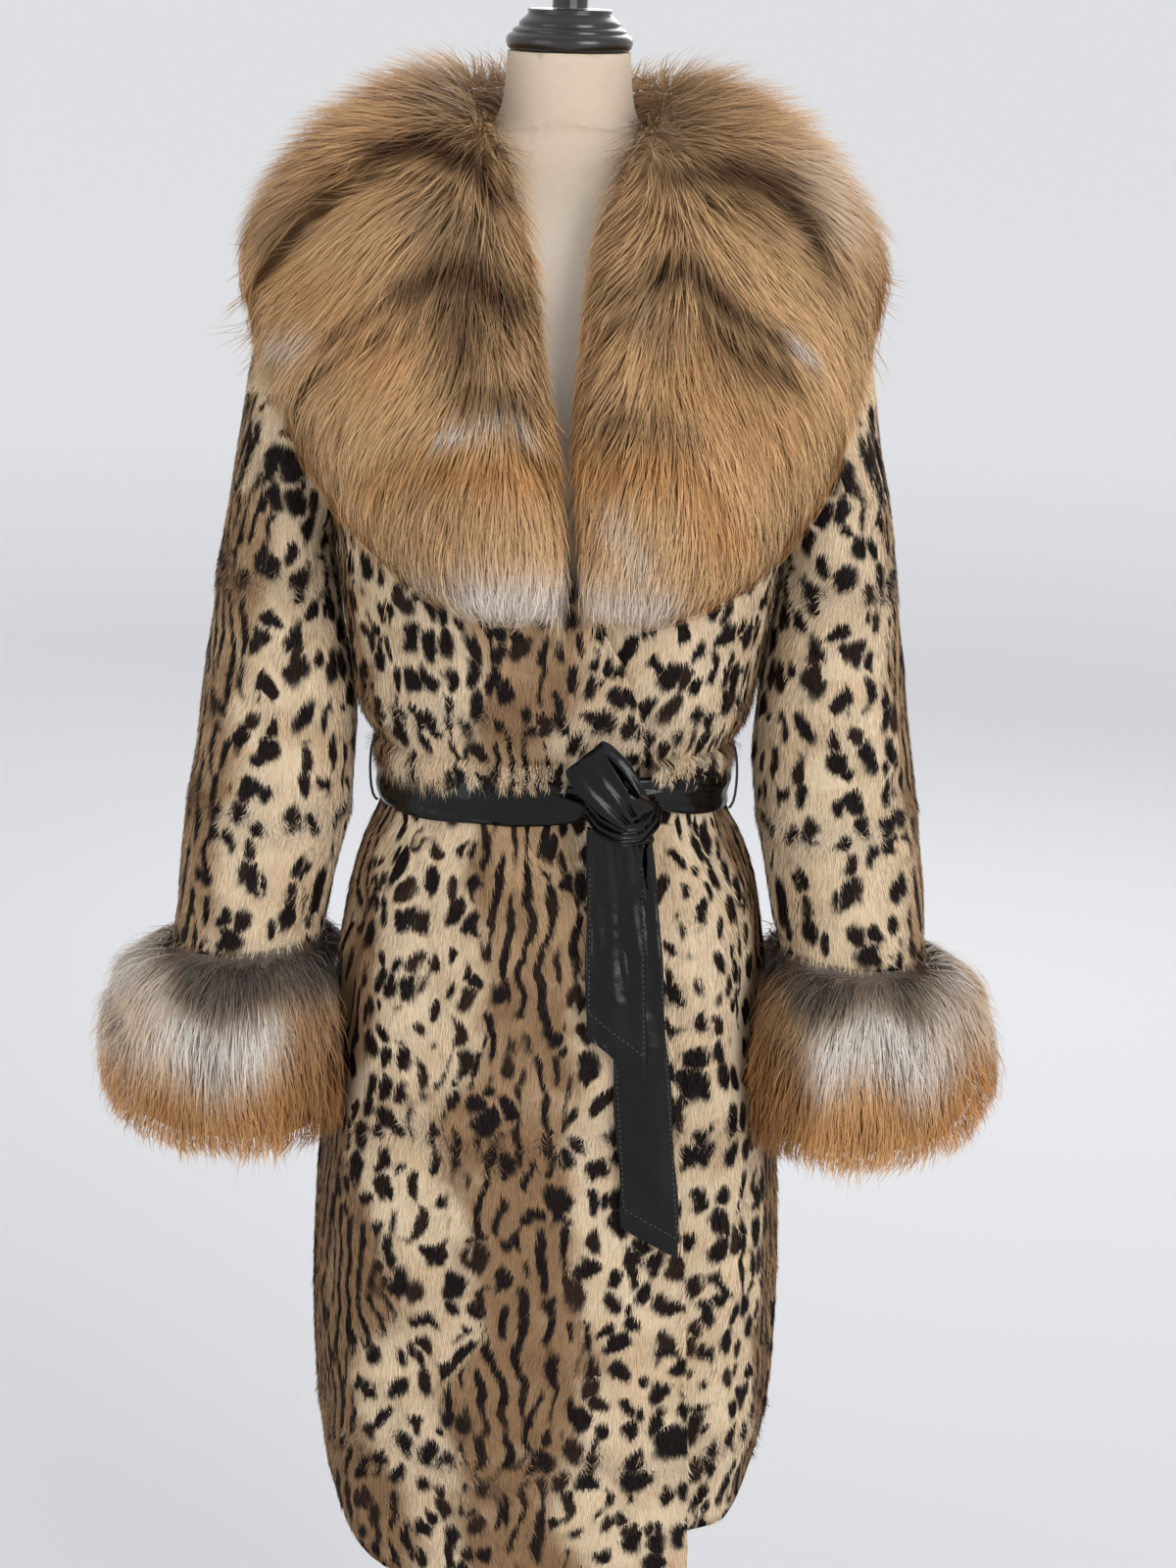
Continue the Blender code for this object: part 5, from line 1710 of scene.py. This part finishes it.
def fold_strap(name, rows):
    """A strap bent through its rows, folded lengthwise and made thick."""
    middles, ways, widths, folds = (np.array(c, float) for c in zip(*rows))
    shape = bmesh.new()
    bmesh.ops.create_grid(shape, x_segments=18, y_segments=48, size=0.5)
    at = np.linspace(0, 1, len(rows))
    sides = np.array([v.co[:2] for v in shape.verts])
    along = sides[:, 1] + 0.5

    def eased(values):
        """The values at each vertex, through a smooth run of the rows."""
        fine = np.linspace(0, 1, 60)
        run = np.stack([np.interp(fine, at, c) for c in values.T], axis=1)
        for _ in range(5):
            run[1:-1] = (run[:-2] + 2 * run[1:-1] + run[2:]) / 4
        return np.stack([np.interp(along, fine, c) for c in run.T], axis=1)

    middle, way = eased(middles), unit(eased(ways))
    width, fold = eased(np.stack([widths, folds], axis=1)).T
    ahead = np.gradient(middles, axis=0)
    face = unit(np.cross(way, eased(ahead)))
    across = sides[:, 0]
    height = FOLD_HEIGHT * fold * np.sin(across * 2 * math.pi * FOLD_COUNT + 0.6)
    places = middle + way * (across * width)[:, None] + face * height[:, None]
    for vert, place in zip(shape.verts, places):
        vert.co = place
    piece = in_scene(name, as_mesh(name, shape))
    thick = piece.modifiers.new("thickness", "SOLIDIFY")
    thick.thickness, thick.offset = STRAP_THICK, 0
    edge = piece.modifiers.new("edge", "BEVEL")
    edge.width, edge.segments, edge.limit_method = STRAP_ROUND, 2, "ANGLE"
    apply_modifiers(piece)
    piece.data.materials.append(leather)
    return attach(piece, "root")


folded = [fold_strap(name, rows) for name, rows in FOLDED.items()]
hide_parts("belt_bow_loop")
print("folded", [piece.name for piece in folded])

# %% [markdown]
# Each stitch is a small bead of thread laid on the strap, 3 mm inside its edge.
# A ray from the front finds the leather's surface, so the stitches follow it.

# %% Sew the tails
TAIL_EDGES = {  # corners of the stitching, (x, z), from the knot round the tip
    "belt_tail_front": [
        (0.0300, 0.915),
        (0.0318, 0.8030),
        (0.0740, 0.7710),
        (0.0685, 0.915),
    ],
    "belt_tail_back": [
        (0.0515, 0.785),
        (0.0622, 0.6490),
        (0.1032, 0.6250),
        (0.0858, 0.830),
    ],
}
STITCH_STEP = 0.0042
STITCH_SIZE = (0.00042, 0.00036, 0.0014)


def sew(name, node, corners):
    """A line of stitches on a strap's front, as one mesh."""
    surface = triangle_tree([straps[node].data])
    shape = bmesh.new()
    for start, end in zip(corners[:-1], corners[1:]):
        start, end = Vector(start), Vector(end)
        count = int((end - start).length / STITCH_STEP)
        step = (end - start) / count
        lean = Matrix.Rotation(math.atan2(step.x, step.y), 4, "Y")
        for i in range(count):
            spot = start + step * (i + 0.5)
            found = surface.ray_cast(Vector((spot.x, -0.4, spot.y)), (0, 1, 0))[0]
            if found is None:
                continue
            place = Matrix.Translation(found + Vector((0, -0.0001, 0))) @ lean
            bmesh.ops.create_icosphere(
                shape,
                subdivisions=1,
                radius=1,
                matrix=place @ Matrix.Diagonal((*STITCH_SIZE, 1)),
            )
    piece = in_scene(name, as_mesh(name, shape))
    piece.data.shade_smooth()
    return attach(piece, "root")


stitches = [
    sew(node + "_stitches", node, corners) for node, corners in TAIL_EDGES.items()
]
print("stitches", [len(piece.data.polygons) // 20 for piece in stitches])

# %% [markdown]
# ## Form and stand
#
# The form is covered in pale linen, so its material crosses two fine waves as a
# plain weave, with slubs. Its solid is rounded with creased edges, so that the
# neck stays crisp where it meets the cap. The cap is turned again with finer
# mouldings: a profile is spun about the axis, as on a lathe. The pole and base
# are satin black, and their solids stay as they are.

# %% Weave the linen
LINEN = (0.66, 0.55, 0.43, 1)
STAINED_LINEN = (0.60, 0.50, 0.40, 1)
# Painted light: the linen is lighter below the collar, to cancel the shade the fur
# casts in the opening.
LINEN_PAINTED_LIGHT = (0.93, 0.82, 0.69, 1)
DARK_SLUB = (0.47, 0.37, 0.27, 1)
PAINTED_LIGHT_BELOW = (1.43, 1.33)

linen, graph, shader = new_material("form_linen", roughness=0.9, gloss=0.15)
place = graph.place()
feeds = [("Vector", place), ("Scale", 210.0), ("Distortion", 0.8), ("Detail", 1.0)]
threads = [
    graph.add("ShaderNodeTexWave", feeds, bands_direction=way).outputs["Fac"]
    for way in ("X", "Z")
]
weave = graph.calc("MULTIPLY", *threads)
drawn_out = graph.vector("MULTIPLY", place, (0.25, 0.25, 1.0))
slub = graph.noise(drawn_out, 420.0)["Fac"]
stain = graph.noise(place, 9.0, 3.0)["Fac"]
cloth = graph.blend(graph.step(stain, 0.3, 0.75), LINEN, STAINED_LINEN)
cloth = graph.blend(graph.calc("MULTIPLY", slub, 0.35), cloth, DARK_SLUB)
height = graph.add("ShaderNodeSeparateXYZ", [("Vector", place)]).outputs["Z"]
# Painted light: below the collar the linen turns lighter.
cloth = graph.blend(graph.step(height, *PAINTED_LIGHT_BELOW), cloth, LINEN_PAINTED_LIGHT)
graph.link(cloth, shader["Base Color"])
graph.link(graph.bump(weave, 0.35, 0.0006), shader["Normal"])

# %% Varnish the wood and paint the metal
WOOD = (0.009, 0.008, 0.0075, 1)
WORN_WOOD = (0.036, 0.020, 0.013, 1)
METAL = ((0.024, 0.022, 0.022, 1), (0.036, 0.034, 0.034, 1))
THREAD = ((0.030, 0.030, 0.033, 1), (0.100, 0.100, 0.107, 1))

varnish = {"roughness": 0.28, "coat": 0.35, "coat_roughness": 0.18}
wood, graph, shader = new_material("form_wood", **varnish)
drawn_out = graph.vector("MULTIPLY", graph.place(), (0.35, 0.35, 2.2))
grain = graph.noise(drawn_out, 150.0, 4.0, 0.65)["Fac"]
colour = graph.blend(graph.step(grain, 0.50, 0.72), WOOD, WORN_WOOD)
graph.link(colour, shader["Base Color"])
graph.link(graph.bump(grain, 0.10, 0.0006), shader["Normal"])


def gritty(name, roughness, colours, scale, detail, strength):
    """A finish whose tone and bump follow one fine noise."""
    material, graph, shader = new_material(name, roughness=roughness)
    grit = graph.noise(graph.place(), scale, detail)["Fac"]
    graph.link(graph.blend(grit, *colours), shader["Base Color"])
    graph.link(graph.bump(grit, strength, 0.0004), shader["Normal"])
    return material


metal = gritty("stand_metal", 0.38, METAL, 260.0, 3.0, 0.10)
thread = gritty("belt_thread", 0.7, THREAD, 1400.0, 2.0, 0.4)
for piece in stitches:
    piece.data.materials.append(thread)

KEPT_FINISHES = {
    "form_finial": wood,
    "form_pole": metal,
    "form_base": metal,
    "belt_loop_left": thread,
    "belt_loop_right": thread,
}
for node, finish in KEPT_FINISHES.items():
    for mesh_slot in NODES[node].material_slots:
        mesh_slot.material = finish
print("kept nodes", list(KEPT_FINISHES))

# %% Round the torso and turn the cap
CAP_PROFILE = [  # radius and height above the rim, from the axis and back to it
    (0.0000, 0.0300),
    (0.0290, 0.0300),
    (0.0308, 0.0295),
    (0.0313, 0.0286),
    (0.0308, 0.0276),
    (0.0310, 0.0262),
    (0.0326, 0.0242),
    (0.0350, 0.0224),
    (0.0368, 0.0208),
    (0.0377, 0.0190),
    (0.0373, 0.0178),
    (0.0382, 0.0169),
    (0.0402, 0.0162),
    (0.0418, 0.0150),
    (0.0423, 0.0138),
    (0.0419, 0.0129),
    (0.0430, 0.0123),
    (0.0452, 0.0111),
    (0.0466, 0.0092),
    (0.0470, 0.0070),
    (0.0467, 0.0045),
    (0.0457, 0.0020),
    (0.0440, 0.0004),
    (0.0000, 0.0002),
]
CAP_STEPS = 96
RIM_FROM = 1.49
NECK_SEAM = (1.405, 1.475)
NECK_SMOOTHINGS = 14

torso = clean_copy("form_torso", "form_torso_linen", 2, RIM_FROM)
shape = bmesh.new()
shape.from_mesh(torso.data)
for _ in range(NECK_SMOOTHINGS):
    bmesh.ops.smooth_vert(
        shape,
        verts=[v for v in shape.verts if NECK_SEAM[0] < v.co.z < NECK_SEAM[1]],
        factor=0.5,
        use_axis_x=True,
        use_axis_y=True,
        use_axis_z=True,
    )
shape.to_mesh(torso.data)
shape.free()
torso.data.materials.append(linen)

low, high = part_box("form_neck_cap")
axis = Vector(((low.x + high.x) / 2, (low.y + high.y) / 2, low.z))
shape = bmesh.new()
verts = [shape.verts.new(axis + Vector((r, 0, h))) for r, h in CAP_PROFILE]
edges = [shape.edges.new(pair) for pair in zip(verts[:-1], verts[1:])]
bmesh.ops.spin(
    shape,
    geom=verts + edges,
    cent=axis,
    axis=(0, 0, 1),
    angle=2 * math.pi,
    steps=CAP_STEPS,
    use_merge=True,
)
bmesh.ops.remove_doubles(shape, verts=shape.verts, dist=1e-5)
bmesh.ops.recalc_face_normals(shape, faces=shape.faces)
cap = in_scene("form_neck_cap_wood", as_mesh("form_neck_cap_wood", shape))
cap.data.shade_smooth()
cap.data.materials.append(wood)
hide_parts("form_neck_cap")
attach(cap, "root")
print("torso", len(torso.data.polygons), "faces, cap", len(cap.data.polygons))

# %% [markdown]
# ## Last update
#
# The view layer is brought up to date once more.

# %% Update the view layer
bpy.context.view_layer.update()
